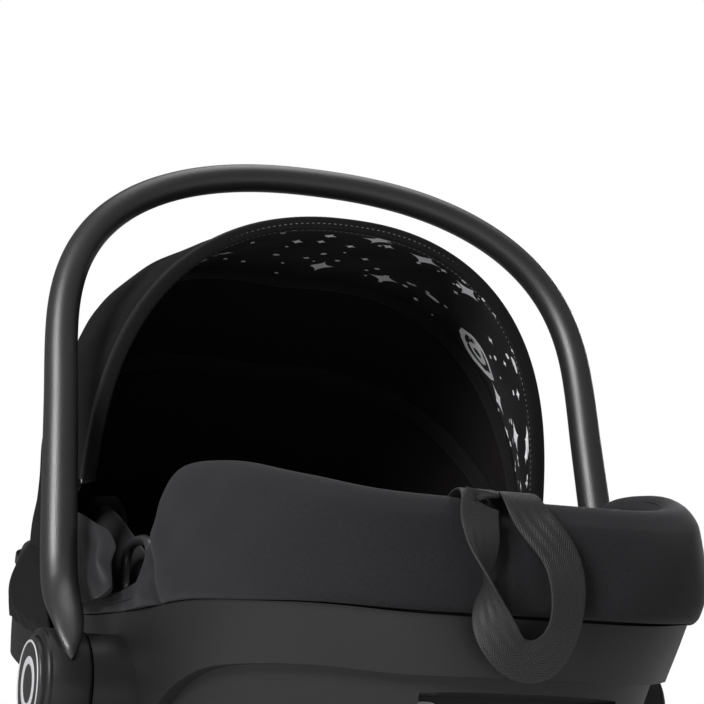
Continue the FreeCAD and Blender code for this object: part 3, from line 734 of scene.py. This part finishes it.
# %% The cover's section
def cover_section(count):
    """Section of the cover as rows (out, rise, drop).

    The height is: shell line + rise * (rim - shell line) + drop, and out is the distance
    out from the bucket's wall. The outer face comes first, then the lining, then back."""
    outer = np.array([
        (-1.5, 0.00, 3.0), (0.8, 0.00, 0.6), (3.0, 0.00, 2.6), (4.0, 0.00, 8.0), (4.2, 0.35, 0.0),
        (3.9, 0.70, 0.0), (2.4, 1.00, -12.0), (-0.8, 1.00, -4.0), (-6.0, 1.00, -0.4),
        (-12.5, 1.00, -1.6), (-18.0, 1.00, -8.0), (-20.0, 1.00, -20.0), (-20.6, 1.00, -44.0),
        (-20.4, 1.00, -68.0)])
    back = np.array([
        (-18.2, 1.00, -69.0), (-17.8, 1.00, -44.0), (-17.0, 1.00, -20.0), (-15.2, 1.00, -9.5),
        (-12.0, 1.00, -5.2), (-6.0, 1.00, -3.6), (-2.0, 1.00, -7.0), (0.0, 1.00, -14.0),
        (1.2, 0.70, 0.0), (1.4, 0.35, 0.0), (1.0, 0.00, 9.0), (-0.2, 0.00, 5.0)])
    ring = np.vstack([outer, back, outer[:1]])
    scale = np.array([MM, 1.0, MM])
    run = np.arange(len(ring), dtype=float)
    return spline(np.column_stack([run, ring * scale]), np.linspace(0, len(ring) - 1, count + 1)[:-1])


SEAM_X = 0.0225          # the seam sits a little to one side of the middle


def cover_points(turns, sections):
    """The cover: each section is set at the hull's turn, with the rim's and the shell's
    heights taken where that turn passes them, plus soft folds and the seams."""
    turn = turns[:, None]
    _, y_here = hull_xy(turn, np.full_like(turn, 0.28), 0)
    rim = spline(RIM_LINE, y_here)[..., 0]
    low = spline(SHELL_LINE, y_here)[..., 0]
    out, rise, drop = (sections[None, :, k] for k in range(3))
    height = low + rise * (rim - low) + drop
    wall = smooth_step(-0.004, 0.004, out)
    x_flat, y_flat = hull_xy(turn, height, 0 * out)
    slow = np.sin(y_flat * 46 + height * 62 + 2 * np.sign(x_flat)) * np.sin(height * 64 + y_flat * 17)
    slow = slow + 0.7 * np.sin(y_flat * 95 - height * 120 + x_flat * 60)
    dip = np.exp(-((y_flat + 0.085) / 0.040) ** 2)
    creases = dip * (np.sin(height * 230 + y_flat * 70) + 0.6 * np.sin(height * 90 - y_flat * 160))
    front = y_flat < -0.25
    seam = -1.8 * np.exp(-((x_flat + SEAM_X) / 0.0020) ** 2) * front
    lips = 0.7 * np.exp(-((np.abs(x_flat + SEAM_X) - 0.005) / 0.0025) ** 2) * front
    tuck = -2.6 * np.exp(-((y_flat + 0.108 - 0.35 * (height - 0.29)) / 0.0028) ** 2)
    fold = 0.6 * slow + 1.5 * creases + seam + lips + tuck
    slim = 2.2 * smooth_step(-0.02, 0.12, y_flat)
    x, y = hull_xy(turn, height, out + MM * (fold - slim) * wall)
    return np.stack([x, y, height], -1)


cover = surface("padded_cover", cover_points(even_turns(620), cover_section(96)), True, True)
dress(cover, COVER_CLOTH, "shell", ["seat_cover"])

# %% [markdown]
# ## The canopy's frame lines
#
# Every bow has one outline, a superellipse over the pivots. The fabric between two bows is
# the same outline swept round the pivot, a little drawn in between the bows.

# %% The bow outline
BOW_HALF_WIDTH = 176.2 * MM
BOW_REACH = 252.8 * MM
BOW_SIDE = 2.23
BOW_CROWN = 3.28
FRONT_BOW, MIDDLE_BOW, REAR_BOW, FIXED_BOW = np.radians([-16.8, 14.2, 39.0, 75.2])
WIDEST = 0.1868          # the handle's legs swing past just outside this
BARE = 0.055             # the fabric stops this share of a quarter turn short of the pivot


def bow_turns(count, bare=BARE):
    """Turns from one side of a bow to the other, spaced evenly along its outline."""
    fine = np.linspace(-math.pi / 2, math.pi / 2, 4001) * (1 - bare)
    x = BOW_HALF_WIDTH * signed_power(np.sin(fine), 2 / BOW_SIDE)
    z = BOW_REACH * signed_power(np.cos(fine), 2 / BOW_CROWN)
    run = np.concatenate([[0], np.cumsum(np.hypot(np.diff(x), np.diff(z)))])
    return np.interp(np.linspace(0, run[-1], count), run, fine)


def canopy_point(turn, angle, inset):
    """A point of the canopy: across by half width times sine to a power, out from the pivot
    by reach times cosine to a power, in a plane leaning back by angle. Behind the front bow
    the cloth stands fuller at the shoulders, by a sum of smooth swells."""
    back = smooth_step(FRONT_BOW - 0.05, MIDDLE_BOW + 0.12, angle)
    ease = 1 - 0.75 * smooth_step(REAR_BOW, FIXED_BOW, angle)
    shoulder = np.abs(np.sin(2 * turn)) ** 1.4
    low_side = np.abs(np.sin(turn)) ** 2 * np.cos(turn) ** 0.4
    out_more = 0.004 * np.cos(turn) ** 2 + 0.019 * back * ease * shoulder - inset
    side_more = 0.018 * back * low_side + 0.006 * back * ease * shoulder - inset
    across = (BOW_HALF_WIDTH + side_more) * signed_power(np.sin(turn), 2 / BOW_SIDE)
    across = np.clip(across, -WIDEST, WIDEST)
    out = (BOW_REACH + out_more) * signed_power(np.cos(turn), 2 / BOW_CROWN)
    turn, angle, across, out = np.broadcast_arrays(turn, angle, across, out)
    return np.stack([across, CANOPY[1] + out * np.sin(angle), CANOPY[2] + out * np.cos(angle)], -1)


def between_bows(first, last, inset, thick, sag, rows=200, columns=40):
    """A closed thin sheet between two bows: the outer face there, and the inner face back.
    It is drawn in towards the pivot by sag times sine squared of the way across."""
    turn = bow_turns(rows)[:, None]
    way = np.linspace(0, 1, columns)
    ripple = 0.0006 * np.sin(turn * 23) * np.sin(way * math.pi * 3)[None]
    pull = (sag * np.sin(way * math.pi) ** 2)[None] * np.cos(turn) ** 0.5 + ripple
    angle = (first + (last - first) * way)[None]
    faces = [canopy_point(turn, angle, inset + pull)]
    faces.append(canopy_point(turn, angle, inset + pull + thick)[:, ::-1])
    return np.concatenate(faces, axis=1)


def canopy_sheet(name, first, last, material, nodes=(), inset=0.0, thick=0.0012,
                 sag=0.004):
    """A closed sheet between two bows, given its material and standing in for the given nodes,
    with its transform worked into the mesh."""
    piece = surface(name, between_bows(first, last, inset, thick, sag), False, True, True)
    dress(piece, material, None, nodes)
    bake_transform(piece)
    return piece


# %% The outer fabric and the lining
PANELS = [
    ("front", MIDDLE_BOW, FRONT_BOW, ("canopy_middle", "canopy_front")),
    ("middle", REAR_BOW, MIDDLE_BOW, ("canopy_rear", "canopy_middle")),
    ("rear", FIXED_BOW, REAR_BOW, ("shell", "canopy_rear")),
]
for label, first, last, bodies in PANELS:
    canopy_sheet("canopy_" + label + "_outer", first, last, CANOPY_CLOTH,
                 ["canopy_" + label + "_panel"])
    printed = label == "front"
    canopy_sheet("canopy_" + label + "_lining", first, last,
                 PRINT_CLOTH if printed else LINING_CLOTH,
                 inset=0.0065, sag=0.006)

# %% [markdown]
# ## Hem, bow sleeves and stitches
#
# The front edge is bound with a folded tape, and each bow runs in a sewn sleeve. Both are
# flat bands carried along the bow's line. The tape has a row of pale stitches, which are
# small spindles, all made at once.

# %% Bands along the bows
def bow_band(name, angle, inset, half_width, half_thick, material, body, nodes, rows=220):
    """A flat closed band along a bow: its width lies along the swing of the bow, and its
    thickness points at the pivot."""
    turn = bow_turns(rows)
    path = canopy_point(turn, np.full(rows, angle), inset)
    tangent = unit(np.gradient(path, axis=0))
    side = np.broadcast_to([0.0, math.cos(angle), -math.sin(angle)], path.shape)
    piece = surface(name, ribbon_loop(path, side, np.cross(tangent, side), half_width, half_thick),
                    False, True, True)
    return dress(piece, material, body, nodes)


def stitch_row(name, path, across, length, gap, thick, material, body):
    """A running stitch: spindles of eight points set at even distances along a path."""
    run = np.concatenate([[0], np.cumsum(np.linalg.norm(np.diff(path, axis=0), axis=1))])
    starts = np.arange(0.004, run[-1] - length - 0.004, length + gap)

    def at(distance):
        return np.stack([np.interp(distance, run, path[:, k]) for k in range(3)], -1)

    first, last, centre = at(starts), at(starts + length), at(starts + length / 2)
    along = unit(last - first)
    side = unit(np.cross(along, across))
    turn = np.linspace(0, 2 * math.pi, 6, endpoint=False)
    ring = centre[:, None] + thick * (np.cos(turn)[None, :, None] * side[:, None]
                                      + np.sin(turn)[None, :, None] * np.cross(side, along)[:, None])
    points = np.concatenate([first[:, None], ring, last[:, None]], axis=1)
    k = np.arange(6)
    fan = np.stack([np.zeros(6, int), 1 + (k + 1) % 6, 1 + k], -1)
    cap = np.stack([np.full(6, 7), 1 + k, 1 + (k + 1) % 6], -1)
    faces = np.concatenate([fan, cap])[None] + 8 * np.arange(len(starts))[:, None, None]
    mesh = bpy.data.meshes.new(name)
    mesh.from_pydata(points.reshape(-1, 3).tolist(), [], faces.reshape(-1, 3).tolist())
    mesh.uv_layers.new(name="UVMap")
    repair(mesh)
    mesh.shade_smooth()
    return dress(add_piece(name, mesh), material, body)


HEM_ANGLE = FRONT_BOW + 0.008
bow_band("canopy_hem", HEM_ANGLE, 0.0032, 0.0052, 0.0048, PIPING_CLOTH, "canopy_front",
         ["canopy_front_bow"])
for label, angle, body in (("middle", MIDDLE_BOW, "canopy_middle"), ("rear", REAR_BOW, "canopy_rear"),
                           ("fixed", FIXED_BOW, "shell")):
    bow_band("canopy_" + label + "_sleeve", angle, 0.0098, 0.0062, 0.0026, PIPING_CLOTH, body,
             ["canopy_" + label + "_bow"])
stitch_turns = bow_turns(400)
for label, inset, shift in (("inner", 0.0081, 0.0), ("front", 0.0032, -0.0210)):
    stitch_path = canopy_point(stitch_turns, np.full(400, HEM_ANGLE + shift), inset)
    stitch_row("hem_stitches_" + label, stitch_path, (0, 1, 0.3), 0.0026, 0.0016, 0.00035,
               SEAM_THREAD, "canopy_front")

# %% [markdown]
# ## The hood's skirt
#
# Behind the last bow the fabric drops over the head end and is hooked under the shell's
# edge. It is one sheet between two lines: the last bow's outline, and a line round the
# shell below its top edge.

# %% The skirt
SKIRT_DROP = 0.034
SKIRT_FRONT_Y = 0.052


def skirt_points(rows=200, columns=36):
    """Straight rulings from the bow to the shell, swelled outwards by a sine between them
    and gathered into shallow ripples towards the lower edge."""
    turn = bow_turns(rows)
    upper = canopy_point(turn, np.full(rows, FIXED_BOW), 0.0)
    reach = math.acos(((SKIRT_FRONT_Y + 0.002) / 0.31) ** (HEAD_SQUARENESS / 2))
    fine = np.linspace(-reach, reach, 3001)
    x, y = hull_xy(fine, np.full(3001, 0.28), 0)
    run = np.concatenate([[0], np.cumsum(np.hypot(np.diff(x), np.diff(y)))])
    hull_turn = np.interp(np.linspace(0, run[-1], rows), run, fine)
    _, y = hull_xy(hull_turn, np.full(rows, 0.26), 0)
    height = spline(SHELL_LINE, y)[:, 0] - SKIRT_DROP
    x, y = hull_xy(hull_turn, height, 0.0016)
    lower = np.stack([x, y, height], -1)
    way = np.linspace(0, 1, columns)[None, :, None]
    middle_line = (upper + lower) / 2
    outward = middle_line * [1, 1, 0] - [0, 0.06, 0]
    outward = unit(outward)[:, None]
    ripple = 0.0008 * np.sin(np.linspace(0, 150, rows))[:, None, None] * way ** 2
    points = upper[:, None] * (1 - way) + lower[:, None] * way
    points = points + outward * (0.012 * np.sin(way * math.pi) + ripple)
    points[..., 0] = np.clip(points[..., 0], -WIDEST, WIDEST)
    inner = points - outward * 0.0012
    return np.concatenate([points, inner[:, ::-1]], axis=1)


skirt = surface("canopy_skirt", skirt_points(), False, True, True)
dress(skirt, CANOPY_CLOTH, "shell")

# %% [markdown]
# ## The pull strap
#
# A length of webbing comes over the rim, hangs in a loop with half a twist in it, and goes
# back over the rim. Its line is a smooth curve through a few given points, and the
# strap's width turns about that line.

# %% The pull strap
STRAP_LINE = MM * np.array([
    (-13, -296, 281), (-13, -303, 289), (-13, -315, 292), (-13, -325, 287), (-9, -327, 278),
    (-1, -329, 267), (7, -330, 256), (11, -331, 243), (11, -332, 229), (8, -332, 214),
    (1, -332, 202), (-10, -333, 195), (-23, -334, 196), (-34, -336, 206), (-40, -337, 220),
    (-42, -337, 236), (-42, -334, 251), (-41, -330, 265), (-40, -326, 278), (-39, -325, 287),
    (-38, -316, 292), (-38, -304, 289), (-38, -297, 281)])
STRAP_HALF = 0.0118


def strap_points(count=260):
    """The webbing: its width lies in the plane of the loop and turns through half a turn on
    the way up the left side."""
    path = through(STRAP_LINE, count)
    way = np.linspace(0, 1, count)
    tangent = unit(np.gradient(path, axis=0))
    outward = np.stack([0 * way, -np.ones(count), 0 * way], -1)
    over = (smooth_step(0.10, 0.18, way) * (1 - smooth_step(0.84, 0.90, way)))[:, None]
    flat_side = np.stack([np.ones(count), 0 * way, 0 * way], -1)
    in_plane = unit(np.cross(tangent, outward))
    in_plane = in_plane * np.sign(in_plane[len(way) // 4, 0])
    roll = math.pi * smooth_step(0.52, 0.84, way) + 0.35 * np.exp(-((way - 0.42) / 0.10) ** 2)
    side = unit(in_plane * over + flat_side * (1 - over))
    normal = unit(np.cross(side, tangent))
    turned = side * np.cos(roll)[:, None] + normal * np.sin(roll)[:, None]
    return ribbon_loop(path, turned, np.cross(tangent, turned), STRAP_HALF, 0.0009)


pull_strap = surface("pull_strap", strap_points(), False, True, True)
dress(pull_strap, WEBBING, "shell", ["front_strap"])

# %% [markdown]
# ## Belt guides and side bolsters
#
# The lap belt is held down by a bent rod on each side of the rim. Beside the shoulders the
# seat pad has a soft bolster that runs down into the dip of the rim.

# %% Rods and bolsters
def rounded_ends(count, share=0.12):
    """Radius factors that close a tube's ends like half an ellipse."""
    way = np.linspace(0, 1, count)
    edge = np.minimum(way, 1 - way) / share
    return np.sqrt(1 - (1 - np.clip(edge, 0.0, 1)) ** 2) + 1e-4


def guide_path(side, count=96):
    """A rounded, slightly slanted loop beside the rim: a superellipse of exponent 3."""
    turn = np.linspace(0, 2 * math.pi, count, endpoint=False)
    y = -0.0585 + 0.0290 * signed_power(np.cos(turn), 2 / 3)
    z = 0.2800 + 0.0185 * signed_power(np.sin(turn), 2 / 3) + 0.10 * (y + 0.0585)
    return np.stack([np.full(count, side * 0.1600) - side * 0.05 * (z - 0.28), y, z], -1)


BOLSTER = MM * np.array([(139, 118, 338), (140, 90, 327), (141, 60, 314), (143, 30, 300),
                         (145, 0, 286), (146, -28, 272)])
for label, side in (("left", -1), ("right", 1)):
    rod = oval_tube("belt_rod_" + label, guide_path(side), 0.0034, 0.0034, (side, 0, 0), 20, True)
    dress(rod, GUIDE_PLASTIC, "shell", ["belt_guide_" + label])
    line = through(BOLSTER * [side, 1, 1], 90)
    ends = rounded_ends(90)
    bolster = oval_tube("side_bolster_" + label, line, 0.0085 * ends, 0.021 * ends, (0, 0, 1))
    dress(bolster, CUSHION_CLOTH, "shell")

# %% Side gussets
GUSSET_TOP = MM * np.array([(-70, 291), (-58, 301), (-35, 311), (0, 323), (35, 333), (75, 343),
                            (110, 352)])


def gusset_points(side, rows=90, columns=40):
    """A padded flap that closes the gap between the rim and the canopy. It rises from the
    cover's crest to its own top edge, with creases that run down from the top."""
    y = np.linspace(GUSSET_TOP[0, 0], GUSSET_TOP[-1, 0], rows)[:, None]
    top = spline(GUSSET_TOP, y)[..., 0]
    low = spline(RIM_LINE, y)[..., 0] - 0.006
    way = np.linspace(0, 1, columns)[None]
    z = low + (top - low) * way
    crease = 0.0014 * np.sin(y * 150 - way * 5.0) * np.sin(way * math.pi)
    crease = crease + 0.0010 * np.sin(y * 60 + way * 9.0)
    thick = 0.0042 * np.sqrt(np.clip(np.sin(way * math.pi * 0.5 + math.pi * 0.5), 0, 1)) + 0.0002
    thick = thick * np.sqrt(np.clip(np.minimum(y - y[0], y[-1] - y) / 0.012, 0, 1)) + 0.0001
    centre = 0.1788 + 0.0022 * np.sin(way * math.pi) + crease
    outer = np.stack([side * (centre + thick / 2), y + 0 * way, z], -1)
    inner = np.stack([side * (centre - thick / 2), y + 0 * way, z], -1)
    return np.concatenate([outer, inner[:, ::-1]], axis=1)


for label, side in (("left", -1), ("right", 1)):
    gusset = surface("side_gusset_" + label, gusset_points(side), False, True, True)
    dress(gusset, CUSHION_CLOTH, "shell")

# %% [markdown]
# ## Cushions
#
# The seat and back cushions and the head support are foam in a knitted cover. Each starts
# from its own solid, a little shrunk, and is blown up softly by a cloth simulation, which
# crowns the faces and pulls the sides in. Sewn channels are pressed in afterwards.

# %% Blowing up a cushion
HIP = MM * np.array([0, -47, 112])
HEAD_END = MM * np.array([0, 256, 330])
KNEE = MM * np.array([0, -277, 232])
BACK_ALONG = unit(HEAD_END - HIP)
BACK_UP = np.array([0, -BACK_ALONG[2], BACK_ALONG[1]])
SEAT_ALONG = unit(KNEE - HIP)
SEAT_UP = np.array([0, SEAT_ALONG[2], -SEAT_ALONG[1]])


def vertices(mesh):
    flat = np.empty(len(mesh.vertices) * 3, np.float32)
    mesh.vertices.foreach_get("co", flat)
    return flat.reshape(-1, 3).astype(float)


def vertex_normals(mesh):
    flat = np.empty(len(mesh.vertices) * 3, np.float32)
    mesh.vertex_normals.foreach_get("vector", flat)
    return flat.reshape(-1, 3).astype(float)


def applied(piece):
    """The piece's mesh with its modifiers worked in, as a new mesh."""
    shown = piece.evaluated_get(bpy.context.evaluated_depsgraph_get())
    return bpy.data.meshes.new_from_object(shown)


def cushion(name, node, body, cap, voxel=0.005, shrink=0.0012):
    """Remesh the node's solid, let cloth pressure swell it, stop each point at cap."""
    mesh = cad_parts[node].data.copy()
    repair(mesh, weld=1e-5, face_out=False)
    piece = add_piece(name, mesh)
    remesh = piece.modifiers.new("remesh", "REMESH")
    remesh.mode = "VOXEL"
    remesh.voxel_size = voxel
    piece.data = applied(piece)
    piece.modifiers.clear()
    start = vertices(piece.data) - shrink * vertex_normals(piece.data)
    piece.data.vertices.foreach_set("co", start.astype(np.float32).ravel())
    soft = piece.modifiers.new("cloth", "CLOTH")
    soft.settings.use_pressure = True
    soft.settings.uniform_pressure_force = 4.0
    soft.settings.effector_weights.gravity = 0.0
    soft.point_cache.frame_start = 1
    soft.point_cache.frame_end = 20
    for step in range(1, 21):
        bpy.context.scene.frame_set(step)
    swollen = vertices(applied(piece))
    piece.modifiers.clear()
    bpy.context.scene.frame_set(1)
    move = swollen - start
    length = np.linalg.norm(move, axis=1, keepdims=True)
    move = move * np.minimum(1, cap / np.maximum(length, 1e-9))
    piece.data.vertices.foreach_set("co", (start + move).astype(np.float32).ravel())
    finer = piece.modifiers.new("finer", "SUBSURF")
    finer.levels = 1
    finer.render_levels = 1
    piece.data = applied(piece)
    piece.modifiers.clear()
    piece.data.shade_smooth()
    dress(piece, CUSHION_CLOTH, body, [node])
    return piece


def press_channels(piece, along, up, places, depth=0.0035, width=0.0035):
    """Presses sewn channels across the upper face: a sum of narrow bells along the seat."""
    points, normals = vertices(piece.data), vertex_normals(piece.data)
    run = (points - HIP) @ along
    groove = np.exp(-((run[:, None] - np.array(places)) / width) ** 2).sum(1)
    facing = smooth_step(0.3, 0.8, normals @ up)
    points = points - (depth * groove * facing)[:, None] * up
    piece.data.vertices.foreach_set("co", points.astype(np.float32).ravel())
    piece.data.update()


back = cushion("back_cushion_soft", "back_cushion", "shell", 0.006)
press_channels(back, BACK_ALONG, BACK_UP, np.arange(0.045, 0.36, 0.045))
seat = cushion("seat_cushion_soft", "seat_cushion", "shell", 0.006)
press_channels(seat, SEAT_ALONG, SEAT_UP, np.arange(0.05, 0.25, 0.05))
head_pad = cushion("head_support_soft", "headrest_pad", "headrest", 0.005)

# %% [markdown]
# ## The harness
#
# Two shoulder straps run down the back under quilted pads to the tongues, and a third strap
# holds the buckle. Straps are thin rounded ribbons, and pads are flat tubes with round ends.

# %% Straps and pads
def on_back(run, lift, x):
    run = np.asarray(run, float)
    return HIP + [x, 0, 0] + run[:, None] * MM * BACK_ALONG + lift * MM * BACK_UP


def strap(name, path, normal, half_width, nodes):
    tangent = unit(np.gradient(path, axis=0))
    side = unit(np.cross(tangent, normal))
    piece = surface(name, ribbon_loop(path, side, np.cross(side, tangent), half_width, 0.0008),
                    False, True, True)
    return dress(piece, WEBBING, "shell", nodes)


for label, side in (("left", -1), ("right", 1)):
    run = np.linspace(76, 212, 90)
    strap("shoulder_webbing_" + label, on_back(run, 1.1, side * 0.0395), BACK_UP, 0.0124,
          ["shoulder_strap_" + label])
    run = np.linspace(97, 191, 90)
    ends = rounded_ends(90)
    quilt = 1 - 0.16 * np.exp(-((np.mod(run, 19) - 9.5) / 1.6) ** 2)
    pad = oval_tube("shoulder_pad_soft_" + label, on_back(run, 7.6, side * 0.0395), 0.0172 * ends,
                    0.0052 * ends * quilt, BACK_UP)
    dress(pad, CUSHION_CLOTH, "shell", ["shoulder_pad_" + label])
crotch_line = through(np.array([HIP + SEAT_ALONG * 0.034 + SEAT_UP * 0.0014,
                                HIP + SEAT_ALONG * 0.016 + SEAT_UP * 0.006,
                                HIP + BACK_ALONG * 0.004 + BACK_UP * 0.010,
                                HIP + BACK_ALONG * 0.014 + BACK_UP * 0.0105]), 60)
strap("crotch_webbing", crotch_line, BACK_UP, 0.0188, ["crotch_strap"])

# %% [markdown]
# ## Small details
#
# A plain ring is set into each hub button, and a blank plate sits in the toe recess.

# %% Button rings and the blank plate
def flat_ring(name, side, radius, half_width, material, body):
    """A low ring on the button: a flattened oval section turned round the handle's axle."""
    turn = np.linspace(0, 2 * math.pi, 120, endpoint=False)
    x = np.full(120, side * 0.2246)
    path = np.stack([x, HUB[1] + radius * np.cos(turn), HUB[2] + radius * np.sin(turn)], -1)
    piece = oval_tube(name, path, half_width, 0.0005, (side, 0, 0), 16, True)
    return dress(piece, material, body)


PALE_PLASTIC = plastic("pale_plastic", (0.42, 0.42, 0.43), (0.50, 0.50, 0.51), 0.4, 1500.0)
for label, side in (("left", -1), ("right", 1)):
    body = "handle_button_" + label
    flat_ring("button_ring_" + label, side, 0.0150, 0.0026, PALE_PLASTIC, body)
    flat_ring("button_rim_" + label, side, 0.0272, 0.0008, PALE_PLASTIC, body)


def plate(name, low, high, material):
    """A small plate: a superellipse of exponent 8 in plan, drawn in at both faces."""
    turn = np.linspace(0, 2 * math.pi, 64, endpoint=False)
    centre, half = (np.array(low) + high) / 2, (np.array(high) - low) / 2
    depth = np.array([-1, -1, -0.6, 0.6, 1, 1])
    scale = np.array([1e-4, 0.97, 1, 1, 0.97, 1e-4])
    x = centre[0] + half[0] * signed_power(np.cos(turn), 0.25)[None] * scale[:, None]
    z = centre[2] + half[2] * signed_power(np.sin(turn), 0.25)[None] * scale[:, None]
    y = np.broadcast_to(centre[1] + half[1] * depth[:, None], x.shape)
    return dress(surface(name, np.stack([x, y, z], -1), False, True), material,
                 "shell")


plate("recess_plate", (-0.075, -0.2748, 0.160), (-0.045, -0.2732, 0.177), PALE_PLASTIC)

# %% [markdown]
# ## The camera
#
# A long lens, 45 mm above the level the seat stands on, looks up by 15 degrees at the foot end
# and one side, so the canopy's lining shows under the handle.

# %% Camera
camera = bpy.data.objects.new("camera", bpy.data.cameras.new("camera"))
bpy.context.scene.collection.objects.link(camera)
bpy.context.scene.camera = camera
camera.location = (-0.5495, -1.4055, 0.045)
camera.rotation_euler = (math.radians(105.27), 0.0, math.radians(-21.84))
camera.data.sensor_width = 36.0
camera.data.lens = 110.72
camera.data.clip_start = 0.05

# %% [markdown]
# ## A pale studio
#
# A white floor that runs out of sight and a white surround for the eye, with soft lights.

# %% Floor, surround and lights
def make_floor():
    size = 30.0
    corners = np.array([[(-size, -size, 0), (-size, size, 0)], [(size, -size, 0), (size, size, 0)]], float)
    floor = surface("studio_floor", corners)
    material, tree, shader = principled("studio_floor")
    cloudy = noise(tree, coordinates(tree, "Object"), 0.6)
    two_colours(tree, shader, cloudy, (0.80, 0.80, 0.80), (0.84, 0.84, 0.84))
    shader.inputs["Roughness"].default_value = 0.9
    floor.data.materials.append(material)


make_floor()


def make_surround(seen, cast):
    """A surround that looks white and lights the object more gently than it looks."""
    world = bpy.data.worlds.new("studio")
    bpy.context.scene.world = world
    world.use_nodes = True
    tree = world.node_tree
    tree.nodes.clear()
    light_path = tree.nodes.new("ShaderNodeLightPath")
    strength = tree.nodes.new("ShaderNodeMapRange")
    tree.links.new(light_path.outputs["Is Camera Ray"], strength.inputs["Value"])
    strength.inputs["To Min"].default_value = cast
    strength.inputs["To Max"].default_value = seen
    backdrop = tree.nodes.new("ShaderNodeBackground")
    backdrop.inputs["Color"].default_value = (1, 1, 1, 1)
    tree.links.new(strength.outputs["Result"], backdrop.inputs["Strength"])
    output = tree.nodes.new("ShaderNodeOutputWorld")
    tree.links.new(backdrop.outputs["Background"], output.inputs["Surface"])


make_surround(1.0, 0.19)


def soft_light(name, place, aim, size, watts):
    """A square soft box at a place, turned towards the point aim."""
    lamp = bpy.data.lights.new(name, "AREA")
    lamp.size = size
    lamp.energy = watts
    thing = bpy.data.objects.new(name, lamp)
    bpy.context.scene.collection.objects.link(thing)
    way = np.array(aim, float) - np.array(place, float)
    flat = math.hypot(way[0], way[1])
    thing.location = place
    thing.rotation_euler = (math.atan2(flat, -way[2]), 0.0, math.atan2(way[1], way[0]) - math.pi / 2)


soft_light("key_light", (-2.2, -1.6, 1.5), (0, 0, 0.35), 1.0, 100)
soft_light("top_light", (0.4, 0.2, 2.4), (0, 0, 0.35), 1.6, 20)
soft_light("rim_light", (2.0, 1.8, 1.2), (0, 0, 0.35), 1.0, 28)
bpy.context.scene.view_settings.view_transform = "Standard"
